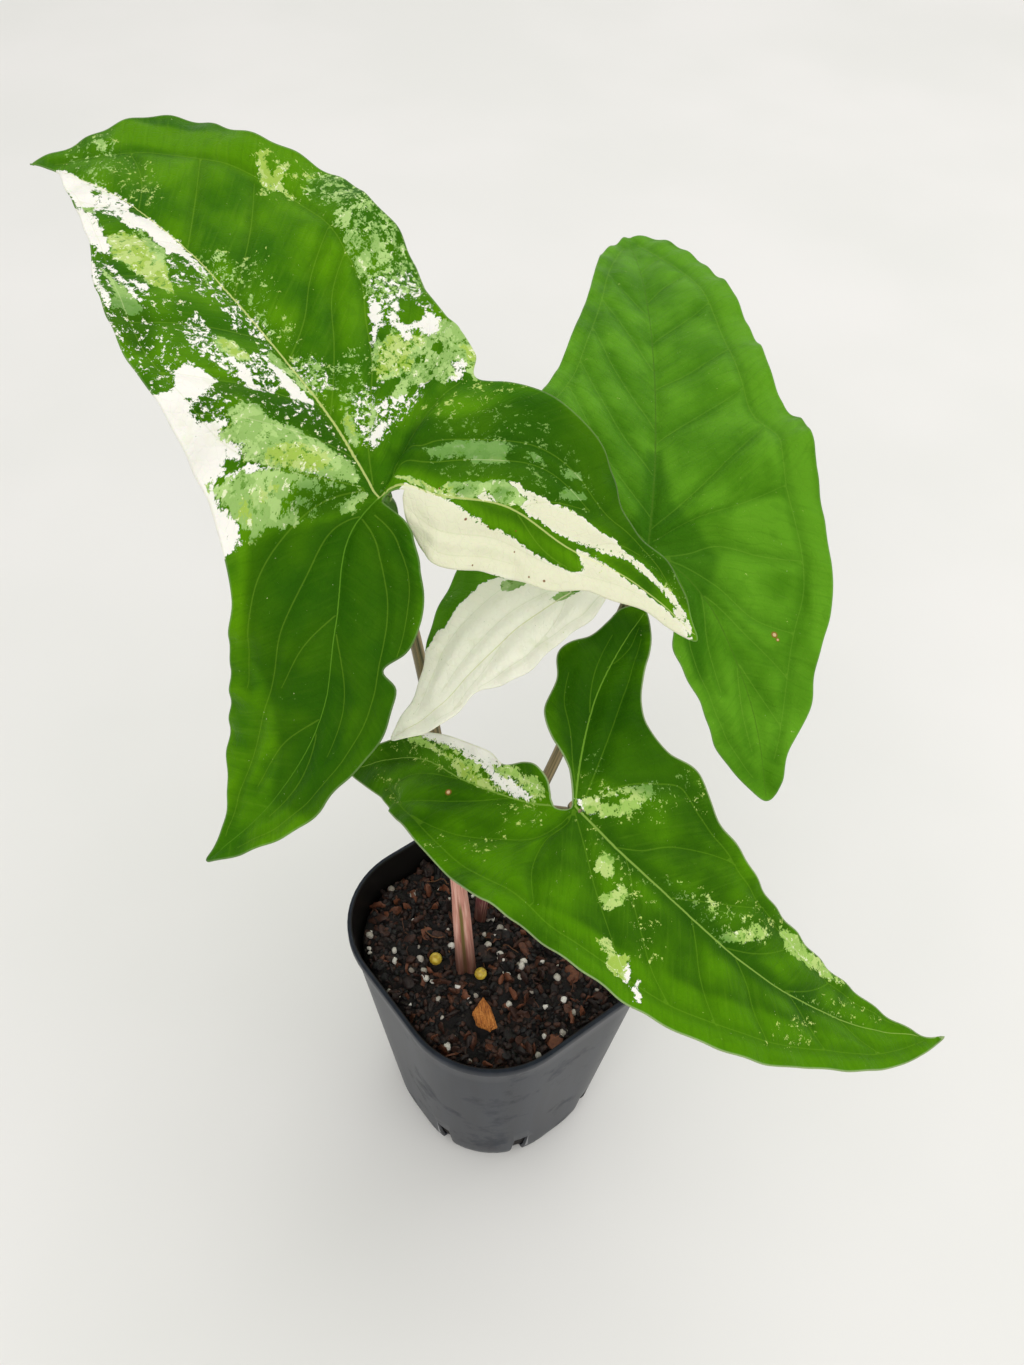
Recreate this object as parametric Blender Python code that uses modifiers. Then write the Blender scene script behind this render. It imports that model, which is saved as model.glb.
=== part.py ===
"""Arrowhead plant: a small variegated Syngonium with three leaves, in a rounded square nursery pot.

Metres, +Z up. The origin is the middle of the pot's underside, and the pot's sides run along X and Y.
Leaf and stalk points are written in millimetres, because that is how they were measured.
"""
import math
import random

import bmesh
import bpy
import numpy as np
from mathutils import Vector
from mathutils.bvhtree import BVHTree
from mathutils.geometry import delaunay_2d_cdt

MM = 0.001
NAME = "arrowhead_plant"
GAP = 0.0003                 # clearance between pieces that touch

# Pot: a thin square pot with large round corners, narrower at the base
POT_HEIGHT = 0.080
POT_TOP_SIDE = 0.070
POT_BASE_SIDE = 0.0535
POT_CORNER = 0.0232
WALL = 0.0009
FLOOR = 0.0012
RIM_BAND = 0.0026            # height of the plain band round the mouth
RIM_STEP = 0.0005            # how far the band stands out of the wall
CORNER_STEPS = 6
SLOT_WIDTH = 0.0040          # drain slots through the foot of the wall
SLOT_HEIGHT = 0.0135
SLOT_DEPTH = 0.0070
SLOT_FROM_MIDDLE = 0.0113

# Soil
SOIL_LEVEL = 0.0720
SOIL_RINGS = 9
LUMP = 0.0010                # height of the soil's lumps
PERLITE_COUNT = 34
PERLITE_SIZE = (0.0007, 0.0014)
SEED = 11

# Blades
BLADE = 0.0007               # thickness of the blade between its ribs
RIB = 0.0017                 # thickness along the main ribs
JOINT = 0.0026               # thickness where the stalk meets the blade
RIB_HALF_WIDTH = 2.2         # mm, from the rib's middle to where the blade is thin again
EDGE_STEP = 3.6              # mm, spacing of the points along the edge
FILL_STEP = 6.2              # mm, spacing of the points inside the blade
WAVE = 1.2                   # mm, height of the edge's waves 25 mm from the rib
WAVE_PITCH = 27.0            # mm
LEAN_REACH = 30.0            # mm along a rib, where a lobe's lean has run out


def lobe(angle, rib, left_fold, right_fold, lean=0.0):
    """One pointed part of a blade.

    angle: direction of its rib on the flat blade, in degrees.
    rib: the points that the bent rib passes, in mm from the stalk joint.
    left_fold, right_fold: how far each half is folded up from level, in degrees, at the joint and tip.
    lean: how far the margin beside the joint is drawn back over the notch, in mm for each mm from the rib.
        Above 0 it moves the left half, below 0 the right half.
    """
    return {"angle": math.radians(angle), "rib": rib, "left": left_fold, "right": right_fold, "lean": lean}


# Each blade is drawn flat first, with the stalk joint at 0, 0 and the front lobe along +Y.
# The outline runs from the front tip down the left side, round both rear lobes and up the right side.
# web: how much of the angle between two ribs the bend of one lobe takes to pass into the next.
# sinus: direction of the notch between the rear lobes, in degrees.
LEAVES = {
    "leaf_left": {
        "joint": (-6.4, 37.4, 200),
        "front": lobe(90, [(1, 16, 7), (-2, 37, 18), (-5, 59, 26), (-11, 83, 31), (-20, 103, 31)],
                      (12, 0), (14, 10)),
        "left": lobe(205, [(-5, 0, -3), (-19, -12, -16), (-28, -19, -30), (-42, -22, -43), (-58, -21, -52)],
                     (5, 5), (5, 5), 0.3),
        "right": lobe(-45, [(3, -2, 3), (8, -9, 3), (20, -16, -1), (26, -28, -6), (35, -39, -12), (41, -53, -20)],
                      (35, 20), (-50, -30), -0.3),
        "web": 0.6,
        "sinus": 271.4,
        "outline": [
            (0, 112), (0, 105), (-5, 98), (-12, 86), (-16, 78), (-22, 69), (-26, 59), (-28, 51), (-29, 43),
            (-30, 34), (-29, 25), (-28, 18),
            (-29, 12), (-33, 7), (-41, 4), (-49, 0), (-57, -5), (-63, -9), (-68, -15), (-70, -23), (-73, -31),
            (-77, -36), (-70, -37), (-63, -37), (-57, -37), (-51, -36), (-46, -34), (-38, -33), (-32, -31),
            (-28, -29), (-27, -25), (-22, -27), (-17, -26.7), (-11, -24.3), (-7.4, -22.5), (-5, -20.4),
            (-2.7, -17.3), (-1, -13.4), (0, -9.4), (0, -5.3), (-0.1, -2.6),
            (0.4, -1.6), (1.5, -2.4), (3, -4.2), (4, -5.5), (2.9, -6.5), (1.2, -10.5), (0.6, -14.6),
            (0.7, -17.2), (2, -20.7), (5.6, -26.3), (10, -30), (15, -33), (20, -35),
            (25, -38), (31, -40), (36, -44), (42, -47), (47, -51),
            (53, -54), (52, -48), (51, -43), (49, -38), (45, -32), (44, -24), (44, -17), (42, -11), (39, -5),
            (37, 1), (33, 6), (31, 9), (34, 13), (34, 18), (32, 23), (33, 30), (37, 37), (38, 44), (36, 52),
            (38, 62), (35, 70), (31, 76), (29, 83), (29, 90), (25, 97), (17, 103), (8, 107)],
    },
    "leaf_right": {
        "joint": (47.8, 13.8, 175),
        "front": lobe(90, [(5, 5, 3), (23, 25, 9), (42, 49, 13), (52, 63, 14), (68, 88, 11)],
                      (14, 10), (12, 5)),
        "left": lobe(220, [(-23, 1, -2), (-33, 2, -5), (-47, 2, -12), (-56, 1, -16), (-67, 3, -21)],
                     (0, 0), (0, 0)),
        "right": lobe(-55, [(3, -5, -2), (6, -13, -7), (5, -25, -14), (3, -36, -23), (-5, -51, -34)],
                      (15, 10), (0, 0)),
        "web": 0.75,
        "sinus": 262.5,
        "outline": [
            (0, 113), (-4, 108), (-10, 98), (-15, 79), (-19, 64), (-23, 50), (-27, 38), (-31, 27), (-33, 17),
            (-34, 8), (-37, 2), (-42, -6), (-45, -15), (-48, -25), (-51, -34), (-55, -46),
            (-49, -45), (-43, -42), (-37, -37), (-30, -36), (-23, -33), (-17, -27), (-11, -21), (-8, -14),
            (-8, -9), (-7, -5), (-1.2, -1.2),
            (1.2, -1.2), (1.4, -6), (1, -12), (1.2, -18), (2, -26), (6, -32), (13, -39), (21, -48), (30, -52),
            (37, -53), (38, -48), (36, -41), (37, -31), (36, -23), (37, -13), (38, -5), (39, 4), (40, 14),
            (39, 23), (36, 33), (31, 38), (27, 48), (25, 60), (22, 74), (19, 86), (14, 99), (7, 111)],
    },
    "leaf_front": {
        "joint": (2.5, -19.0, 152),
        "front": lobe(90, [(2, -15, -3), (5, -27, -7), (10, -41, -14), (28, -62, -31), (47, -74, -41)],
                      (10, 5), (-5, -5)),
        "left": lobe(200, [(9, 9, 2), (19, 17, 5), (36, 25, 10), (42, 27, 11)],
                     (10, 10), (5, 5)),
        "right": lobe(-75, [(-3, 4, -2), (-11, 23, -8), (-14, 38, -13), (-25, 50, -22)],
                      (-10, -10), (40, 35)),
        "web": 0.75,
        "sinus": 242.5,
        "outline": [
            (0, 102), (0, 97), (-3, 88), (-8, 77), (-11, 66), (-14, 53), (-17, 38), (-19, 25), (-23, 17),
            (-22, 10), (-25, 4), (-32, -2), (-41, -8), (-45, -12), (-48, -18),
            (-44, -21), (-39, -20), (-34, -20), (-27, -22), (-22, -18), (-15, -16), (-11, -11),
            (-8, -6), (-6, -4), (-1.2, -1.2),
            (1.2, -1.2), (1.2, -5), (-3, -8), (-5, -12), (-4, -16), (-1, -20), (-1, -26), (1, -33), (5, -42),
            (9, -50), (12, -56), (16, -60), (20, -54), (23, -46), (25, -36), (24, -25), (25, -16), (27, -6),
            (28, 3), (27, 12), (26, 20), (24, 31), (22, 37), (20, 46), (17, 57), (13, 67), (10, 79), (6, 91)],
    },
}

# Stalks: points in mm up to 2 or 3 mm under the blade's joint, radius in mm at the foot and the top,
# and the side that the sheath's groove faces.
STALKS = {
    "stalk_left": {"path": [(-13.5, -4.4, 64), (-11.2, 0.8, 80), (-8.8, 6.4, 97), (-2.4, 25, 135), (-2.8, 31.5, 162),
                            (-5.0, 35.0, 184)],
                   "leaf": "leaf_left", "foot": 2.45, "top": 1.35, "groove": (-0.63, -0.78, 0)},
    "stalk_right": {"path": [(8.6, 11.2, 64), (9.6, 11.0, 80), (13, 10, 100), (22, 9, 125), (35, 11.2, 150),
                             (44.5, 13.2, 166)],
                    "leaf": "leaf_right", "foot": 1.8, "top": 1.3, "groove": (0.0, -1.0, 0)},
    "stalk_front": {"path": [(-0.2, 9.4, 64), (0.2, 8.4, 84), (1.0, 3.2, 110), (0.9, -5.6, 132),
                             (1.2, -13.0, 144)],
                    "leaf": "leaf_front", "foot": 1.7, "top": 1.3, "groove": (1.0, 0.0, 0)},
}
SHEATH_TOP = 100.0           # mm above the floor, where the groove has run out
STALK_SIDES = 12
STALK_STEP = 5.0             # mm

# Loose pieces on the soil: place (x, y) and radius in mm
PRILLS = {"prill_1": (-17.3, 4.75, 1.6), "prill_2": (-10.8, -5.7, 1.55)}
CHIP = {"place": (-16.9, -15.6), "thick": 2.0,
        "outline": [(2.8, 4.4), (-2.0, 2.5), (-2.9, -0.8), (-1.4, -3.9), (0.9, -4.1), (2.6, 0.9)]}


def clear_scene():
    for thing in list(bpy.data.objects):
        bpy.data.objects.remove(thing, do_unlink=True)


def new_collection(name):
    collection = bpy.data.collections.new(name)
    bpy.context.scene.collection.children.link(collection)
    return collection


def srgb(hex_colour):
    """Linear colour of a hex value."""
    values = [int(hex_colour[k:k + 2], 16) / 255 for k in (0, 2, 4)]
    return [v / 12.92 if v <= 0.04045 else ((v + 0.055) / 1.055) ** 2.4 for v in values] + [1.0]


def material(name, hex_colour, roughness):
    made = bpy.data.materials.new(name)
    made.use_nodes = True
    shader = made.node_tree.nodes["Principled BSDF"]
    shader.inputs["Base Color"].default_value = srgb(hex_colour)
    shader.inputs["Roughness"].default_value = roughness
    return made


def add_object(name, mesh, collection, finish):
    thing = bpy.data.objects.new(name, mesh)
    thing.data.materials.append(finish)
    collection.objects.link(thing)
    return thing


def add_boolean(thing, cutter, operation, solver="EXACT"):
    modifier = thing.modifiers.new(operation.title(), "BOOLEAN")
    modifier.operation = operation
    modifier.solver = solver
    modifier.object = cutter


def hide_cutter(cutter):
    cutter.hide_render = True
    cutter.display_type = "WIRE"


def loft(name, rings):
    """Closed skin over rings of equally many points, with a flat face at each end."""
    bm = bmesh.new()
    rows = [[bm.verts.new(point) for point in ring] for ring in rings]
    count = len(rows[0])
    for low, high in zip(rows, rows[1:]):
        for k in range(count):
            bm.faces.new((low[k], low[(k + 1) % count], high[(k + 1) % count], high[k]))
    bm.faces.new(list(reversed(rows[0])))
    bm.faces.new(rows[-1])
    bmesh.ops.recalc_face_normals(bm, faces=bm.faces)
    bmesh.ops.triangulate(bm, faces=bm.faces)
    mesh = bpy.data.meshes.new(name)
    bm.to_mesh(mesh)
    bm.free()
    return mesh


def round_square(side, corner, z):
    """Points of a square with round corners, anticlockwise from its right side."""
    points = []
    inset = side / 2 - corner
    for quarter in range(4):
        sx = 1 if quarter in (0, 3) else -1
        sy = 1 if quarter in (0, 1) else -1
        for step in range(CORNER_STEPS + 1):
            turn = math.radians(90 * (quarter + step / CORNER_STEPS))
            points.append((sx * inset + corner * math.cos(turn), sy * inset + corner * math.sin(turn), z))
    return points


def pot_side(z):
    """Outer width of the pot's wall at a height. The foot draws in a little faster."""
    side = POT_BASE_SIDE + (POT_TOP_SIDE - 2 * RIM_STEP - POT_BASE_SIDE) * z / POT_HEIGHT
    foot = max(0.0, 1 - z / 0.006)
    return side - 0.0012 * foot * foot


def pot_rings():
    """Rings of the pot: up the outside, over the mouth and down the inside."""
    band = POT_HEIGHT - RIM_BAND
    rings = [round_square(pot_side(z), POT_CORNER, z) for z in (0.0, 0.0015, 0.0045, 0.03, 0.055, band)]
    rings.append(round_square(POT_TOP_SIDE, POT_CORNER + RIM_STEP, band + 0.0003))
    rings.append(round_square(POT_TOP_SIDE, POT_CORNER + RIM_STEP, POT_HEIGHT))
    inner = 2 * WALL
    for z in (POT_HEIGHT, band, 0.055, 0.03, 0.0045, FLOOR):
        rings.append(round_square(pot_side(z) - inner, POT_CORNER - WALL, z))
    return rings


def slot_cutters(collection):
    """Boxes that open two drain slots beside each corner of the foot."""
    cutters = []
    reach = POT_BASE_SIDE / 2
    for quarter in range(4):
        for side in (-1, 1):
            turn = math.radians(90 * quarter)
            out = Vector((math.cos(turn), math.sin(turn), 0))
            along = Vector((-math.sin(turn), math.cos(turn), 0)) * side
            centre = out * (reach - SLOT_DEPTH / 2 + 0.002) + along * SLOT_FROM_MIDDLE
            bm = bmesh.new()
            bmesh.ops.create_cube(bm, size=1.0)
            mesh = bpy.data.meshes.new("slot")
            for vert in bm.verts:
                vert.co = Vector((vert.co.x * SLOT_DEPTH, vert.co.y * SLOT_WIDTH, vert.co.z * SLOT_HEIGHT * 2))
            bm.to_mesh(mesh)
            bm.free()
            cutter = bpy.data.objects.new("slot_cutter", mesh)
            cutter.location = centre
            cutter.rotation_euler.z = turn
            collection.objects.link(cutter)
            hide_cutter(cutter)
            cutters.append(cutter)
    return cutters


def join_in_one(objects, name, collection):
    """One mesh object with all the closed pieces, which do not touch each other."""
    bm = bmesh.new()
    for thing in objects:
        part = bmesh.new()
        part.from_mesh(thing.data)
        part.transform(thing.matrix_basis)
        mesh = bpy.data.meshes.new("piece")
        part.to_mesh(mesh)
        part.free()
        bm.from_mesh(mesh)
        bpy.data.meshes.remove(mesh)
    mesh = bpy.data.meshes.new(name)
    bm.to_mesh(mesh)
    bm.free()
    for thing in objects:
        bpy.data.objects.remove(thing, do_unlink=True)
    joined = bpy.data.objects.new(name, mesh)
    collection.objects.link(joined)
    hide_cutter(joined)
    return joined


def make_pot(collection, cutters, finish):
    pot = add_object("pot", loft("pot", pot_rings()), collection, finish)
    slots = join_in_one(slot_cutters(cutters), "slots", cutters)
    add_boolean(pot, slots, "DIFFERENCE")
    return pot


def soil_height(x, y):
    """Height of the lumpy soil surface, lower at the pot's back corner."""
    lumps = math.sin(x * 610 + 0.7) * math.cos(y * 540 - 0.4) + 0.6 * math.sin(x * 1310 + y * 1170)
    mound = 0.0016 * math.exp(-((x + 0.009) ** 2 + (y + 0.004) ** 2) / 0.012 ** 2)
    return SOIL_LEVEL + LUMP * lumps * 0.6 + mound - 0.0012 * (x + y) / 0.05


def soil_rings():
    """Rings of the soil, which fills the pot GAP clear of it, closed in to a small ring on top."""
    inside = 2 * (WALL + GAP)
    corner = POT_CORNER - WALL - GAP
    rings = [round_square(pot_side(z) - inside - 0.0003, corner, z)
             for z in (FLOOR + GAP, 0.0046, 0.03, 0.055)]
    rim = round_square(pot_side(0.068) - inside - 0.0003, corner, 0)
    for step in range(SOIL_RINGS):
        share = 1 - step / SOIL_RINGS * 0.97
        ring = [(x * share, y * share) for x, y, _ in rim]
        edge = 0.0022 if step == 0 else 0.0
        rings.append([(x, y, soil_height(x, y) - edge) for x, y in ring])
    return rings


def bit_mesh(radius, rng):
    """A small uneven grain."""
    bm = bmesh.new()
    bmesh.ops.create_icosphere(bm, subdivisions=1, radius=radius)
    for vert in bm.verts:
        vert.co *= rng.uniform(0.8, 1.15)
    return bm


def free_place(x, y, radius):
    """True where a grain keeps clear of the stalks, the prills and the bark chip."""
    for stalk in STALKS.values():
        foot = stalk["path"][0]
        if math.hypot(x - foot[0] * MM, y - foot[1] * MM) < (stalk["foot"] + 2.0) * MM + radius:
            return False
    for px, py, size in PRILLS.values():
        if math.hypot(x - px * MM, y - py * MM) < (size + 1.2) * MM + radius:
            return False
    cx, cy = CHIP["place"]
    return math.hypot(x - cx * MM, y - cy * MM) > 0.0065 + radius


def soil_grains(cutters):
    """Perlite and bark grains, sunk more than half into the soil surface, none touching another."""
    rng = random.Random(SEED)
    reach = POT_TOP_SIDE / 2 - 0.0055
    placed = []
    grains = []
    while len(placed) < PERLITE_COUNT:
        x, y = rng.uniform(-reach, reach), rng.uniform(-reach, reach)
        radius = rng.uniform(*PERLITE_SIZE)
        if math.hypot(max(abs(x) - 0.012, 0), max(abs(y) - 0.012, 0)) > 0.0155:
            continue
        if not free_place(x, y, radius):
            continue
        if any(math.hypot(x - a, y - b) < radius + r + 0.0006 for a, b, r in placed):
            continue
        placed.append((x, y, radius))
        bm = bit_mesh(radius, rng)
        mesh = bpy.data.meshes.new("grain")
        bm.to_mesh(mesh)
        bm.free()
        grain = bpy.data.objects.new("grain", mesh)
        grain.location = (x, y, soil_height(x, y) + radius * 0.15)
        cutters.objects.link(grain)
        grains.append(grain)
    return join_in_one(grains, "grains", cutters)


def stalk_holes(cutters):
    """Plain holes in the soil, one for each stalk."""
    holes = []
    for name, stalk in STALKS.items():
        foot = Vector(stalk["path"][0]) * MM
        lean = (Vector(stalk["path"][1]) * MM - foot).normalized()
        radius = (stalk["foot"] + 0.5) * MM
        bm = bmesh.new()
        bmesh.ops.create_cone(bm, cap_ends=True, segments=STALK_SIDES, radius1=radius, radius2=radius,
                              depth=0.026)
        mesh = bpy.data.meshes.new(name + "_hole")
        bm.to_mesh(mesh)
        bm.free()
        hole = bpy.data.objects.new(name + "_hole", mesh)
        hole.rotation_mode = "QUATERNION"
        hole.rotation_quaternion = lean.to_track_quat("Z", "Y")
        hole.location = foot + lean * (0.013 - GAP)
        cutters.objects.link(hole)
        holes.append(hole)
    bpy.context.view_layer.update()
    return join_in_one(holes, "stalk_holes", cutters)


def make_soil(collection, cutters, finish):
    soil = add_object("soil", loft("soil", soil_rings()), collection, finish)
    add_boolean(soil, soil_grains(cutters), "UNION")
    add_boolean(soil, stalk_holes(cutters), "DIFFERENCE")
    return soil


def make_prills(collection, soil, finish):
    """Balls that rest just clear of the soil."""
    surface = bmesh.new()
    surface.from_mesh(soil.data)
    tree = BVHTree.FromBMesh(surface)
    surface.free()
    for name, (x, y, radius) in PRILLS.items():
        bm = bmesh.new()
        bmesh.ops.create_icosphere(bm, subdivisions=2, radius=radius * MM)
        mesh = bpy.data.meshes.new(name)
        bm.to_mesh(mesh)
        bm.free()
        prill = add_object(name, mesh, collection, finish)
        place = Vector((x * MM, y * MM, SOIL_LEVEL + 0.008))
        while tree.find_nearest(place)[3] > radius * MM + GAP:
            place.z -= 0.00002
        prill.location = place


def make_chip(collection, finish):
    """A flat flake of bark with a tapered, uneven outline."""
    x, y = (v * MM for v in CHIP["place"])
    thick = CHIP["thick"] * MM
    rings = [[(a * s * MM, b * s * MM, h * thick) for a, b in CHIP["outline"]]
             for s, h in ((0.86, -0.5), (1.0, -0.1), (0.9, 0.5))]
    chip = add_object("bark_chip", loft("bark_chip", rings), collection, finish)
    top = max(soil_height(x + dx * MM, y + dy * MM) for dx in (-4, -2, 0, 2, 4) for dy in (-4, -2, 0, 2, 4))
    chip.location = (x, y, top + thick / 2 + GAP)


def smooth_path(points, count):
    """Evenly spaced points on a smooth curve through the given ones, and the curve's length."""
    points = np.asarray(points, float)
    reach = np.concatenate([[0], np.cumsum(np.linalg.norm(np.diff(points, axis=0), axis=1))])
    step = np.diff(reach)[:, None]
    run = np.diff(points, axis=0) / step
    slope = np.empty_like(points)
    slope[1:-1] = (run[:-1] * step[1:] + run[1:] * step[:-1]) / (step[1:] + step[:-1])
    slope[0] = 1.5 * run[0] - 0.5 * slope[1]
    slope[-1] = 1.5 * run[-1] - 0.5 * slope[-2]
    at = np.linspace(0, reach[-1], count * 4)
    k = np.clip(np.searchsorted(reach, at, "right") - 1, 0, len(points) - 2)
    h = step[k]
    t = (at - reach[k])[:, None] / h
    dense = ((2 * t**3 - 3 * t**2 + 1) * points[k] + (t**3 - 2 * t**2 + t) * h * slope[k]
             + (-2 * t**3 + 3 * t**2) * points[k + 1] + (t**3 - t**2) * h * slope[k + 1])
    length = np.concatenate([[0], np.cumsum(np.linalg.norm(np.diff(dense, axis=0), axis=1))])
    even = np.linspace(0, length[-1], count)
    return np.stack([np.interp(even, length, dense[:, j]) for j in range(3)], 1), length[-1]


def ease(x):
    x = np.clip(x, 0, 1)
    return x * x * x * (x * (6 * x - 15) + 10)


def bend_on_lobe(part, flat, wave_height=WAVE):
    """Where flat points lie when the sheet is bent along one lobe's rib and folded at it."""
    rib, length = smooth_path([(0, 0, 0)] + part["rib"], 81)
    k = np.arange(len(rib))
    ahead = rib[np.minimum(k + 12, len(rib) - 1)] - rib[np.maximum(k - 12, 0)]
    ahead /= np.linalg.norm(ahead, axis=1)[:, None]
    normal = np.array([0, 0, 1.0]) - ahead * ahead[:, 2:3]
    normal /= np.linalg.norm(normal, axis=1)[:, None]
    leftward = np.cross(normal, ahead)
    along = flat @ np.array([math.cos(part["angle"]), math.sin(part["angle"])])
    aside = flat @ np.array([-math.sin(part["angle"]), math.cos(part["angle"])])
    along = along - np.clip(part["lean"] * aside, 0, None) * np.clip(1 - along / LEAN_REACH, 0, 1)
    share = np.clip(along / length, 0, 1)
    place = share * (len(rib) - 1)
    k = np.clip(place.astype(int), 0, len(rib) - 2)
    f = (place - k)[:, None]
    base, forward, left, up = (a[k] * (1 - f) + a[k + 1] * f for a in (rib, ahead, leftward, normal))
    base = base + forward * (along - np.clip(along, 0, length))[:, None]
    is_left = aside >= 0
    fold_joint = np.where(is_left, part["left"][0], part["right"][0])
    fold_tip = np.where(is_left, part["left"][1], part["right"][1])
    fold = np.radians(fold_joint * (1 - share) + fold_tip * share)
    phase = np.where(is_left, 0.0, 2.2)
    wave = wave_height * (aside / 25) ** 2 * np.sin(2 * np.pi * along / WAVE_PITCH + phase)
    across = aside * np.cos(fold)
    rise = np.abs(aside) * np.sin(fold) + wave
    return base + left * across[:, None] + up * rise[:, None]


def bend_leaf(leaf, flat):
    """Where flat points of a blade lie in space, in mm. Each lobe's bend passes smoothly into the next."""
    flat = np.asarray(flat, float)
    front, left, right = leaf["front"], leaf["left"], leaf["right"]
    turn_left = left["angle"] - front["angle"]
    turn_right = right["angle"] - front["angle"]
    behind = math.radians(leaf["sinus"]) - front["angle"]
    turn = np.arctan2(flat[:, 1], flat[:, 0]) - front["angle"]
    turn = (turn - behind) % (2 * math.pi) + behind - 2 * math.pi
    share_left = ease((turn - turn_left / 2) / (leaf["web"] * turn_left) + 0.5)
    share_right = ease((turn - turn_right / 2) / (leaf["web"] * turn_right) + 0.5)
    share_front = 1 - share_left - share_right
    bent = (share_front[:, None] * bend_on_lobe(front, flat) + share_left[:, None] * bend_on_lobe(left, flat)
            + share_right[:, None] * bend_on_lobe(right, flat))
    return np.array(leaf["joint"]) + bent


def smooth_outline(corners, step):
    """Points about step apart on a smooth closed curve through the corners."""
    corners = np.asarray(corners, float)
    count = len(corners)
    points = []
    for k in range(count):
        a, b, c, d = (corners[(k + j) % count] for j in (-1, 0, 1, 2))
        pieces = max(1, round(float(np.hypot(*(c - b))) / step))
        for t in np.arange(pieces) / pieces:
            points.append(0.5 * (2 * b + (c - a) * t + (2 * a - 5 * b + 4 * c - d) * t**2
                                 + (3 * b - a - 3 * c + d) * t**3))
    return np.array(points)


def inside(points, outline):
    """True for each point inside the closed outline."""
    x, y = points[:, :1], points[:, 1:]
    a, b = outline, np.roll(outline, -1, axis=0)
    crosses = (a[:, 1] > y) != (b[:, 1] > y)
    level = np.where(b[:, 1] == a[:, 1], 1e-9, b[:, 1] - a[:, 1])
    at = a[:, 0] + (y - a[:, 1]) / level * (b[:, 0] - a[:, 0])
    return (crosses & (x < at)).sum(1) % 2 == 1


def distance_to(points, others):
    return np.sqrt(((points[:, None, :] - others[None, :, :]) ** 2).sum(2)).min(1)


def rib_lines(leaf):
    """The three ribs on the flat blade, as unit direction and length."""
    lines = []
    for key in ("front", "left", "right"):
        _, length = smooth_path([(0, 0, 0)] + leaf[key]["rib"], 81)
        lines.append((np.array([math.cos(leaf[key]["angle"]), math.sin(leaf[key]["angle"])]), length))
    return lines


def rib_distance(leaf, flat):
    """Distance of flat points from the nearest rib, and how far along that rib they lie, from 0 to 1."""
    near = np.full(len(flat), 1e9)
    share = np.zeros(len(flat))
    for heading, length in rib_lines(leaf):
        along = np.clip(flat @ heading, 0, length)
        gap = np.linalg.norm(flat - along[:, None] * heading, axis=1)
        closer = gap < near
        near = np.where(closer, gap, near)
        share = np.where(closer, along / length, share)
    return near, share


def blade_points(leaf):
    """Outline points of the flat blade, then rows along its ribs, then an even fill."""
    outline = smooth_outline(leaf["outline"], EDGE_STEP)
    rows = []
    for heading, length in rib_lines(leaf):
        side = np.array([-heading[1], heading[0]])
        stations = np.arange(0.0, length - 4, 4.5)
        for offset in (-RIB_HALF_WIDTH, 0, RIB_HALF_WIDTH):
            start = 1 if heading is not None and offset == 0 else 0
            rows += [heading * s + side * offset for s in stations[start:] if s > abs(offset)]
    rows = np.array([(0.0, 0.0)] + rows)
    rows = rows[inside(rows, outline) & (distance_to(rows, outline) > 0.9)]
    low, high = outline.min(0), outline.max(0)
    fill = [(x + (FILL_STEP / 2 if j % 2 else 0), y)
            for j, y in enumerate(np.arange(low[1], high[1], FILL_STEP * 0.87))
            for x in np.arange(low[0], high[0], FILL_STEP)]
    fill = np.array(fill)
    fill = fill[inside(fill, outline) & (distance_to(fill, outline) > EDGE_STEP * 0.75)]
    fill = fill[distance_to(fill, rows) > 2.6]
    return outline, np.vstack([outline, rows, fill])


def blade_mesh(name, leaf):
    """Top face of a blade as triangles, laid out flat and then bent."""
    outline, flat = blade_points(leaf)
    edge_count = len(outline)
    edges = [(k, (k + 1) % edge_count) for k in range(edge_count)]
    points = [Vector(p) for p in flat]
    verts, _, faces, *_ = delaunay_2d_cdt(points, edges, [list(range(edge_count))], 1, 1e-5)
    flat = np.array([v[:] for v in verts])
    bent = bend_leaf(leaf, flat) * MM
    mesh = bpy.data.meshes.new(name)
    mesh.from_pydata([tuple(p) for p in bent], [], [list(f) for f in faces])
    bm = bmesh.new()
    bm.from_mesh(mesh)
    bmesh.ops.recalc_face_normals(bm, faces=bm.faces)
    if sum(face.normal.z for face in bm.faces) < 0:
        bmesh.ops.reverse_faces(bm, faces=bm.faces)
    bm.to_mesh(mesh)
    bm.free()
    return mesh, flat


def make_leaf(name, leaf, collection, finish):
    """A blade with its waved edge, thick along the ribs and thickest at the stalk joint."""
    mesh, flat = blade_mesh(name, leaf)
    thing = add_object(name, mesh, collection, finish)
    near, share = rib_distance(leaf, flat)
    rib_height = (RIB - BLADE) * (1 - 0.8 * share) * ease(1.25 - near / RIB_HALF_WIDTH)
    joint_height = (JOINT - RIB) * ease(1.6 - np.hypot(flat[:, 0], flat[:, 1]) / 4)
    thick = (BLADE + rib_height + joint_height) / JOINT
    group = thing.vertex_groups.new(name="thickness")
    for k, value in enumerate(thick):
        group.add([k], float((value - BLADE / JOINT) / (1 - BLADE / JOINT)), "REPLACE")
    solid = thing.modifiers.new("Solidify", "SOLIDIFY")
    solid.thickness = JOINT
    solid.offset = -1
    solid.vertex_group = "thickness"
    solid.thickness_vertex_group = BLADE / JOINT
    return thing


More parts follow.
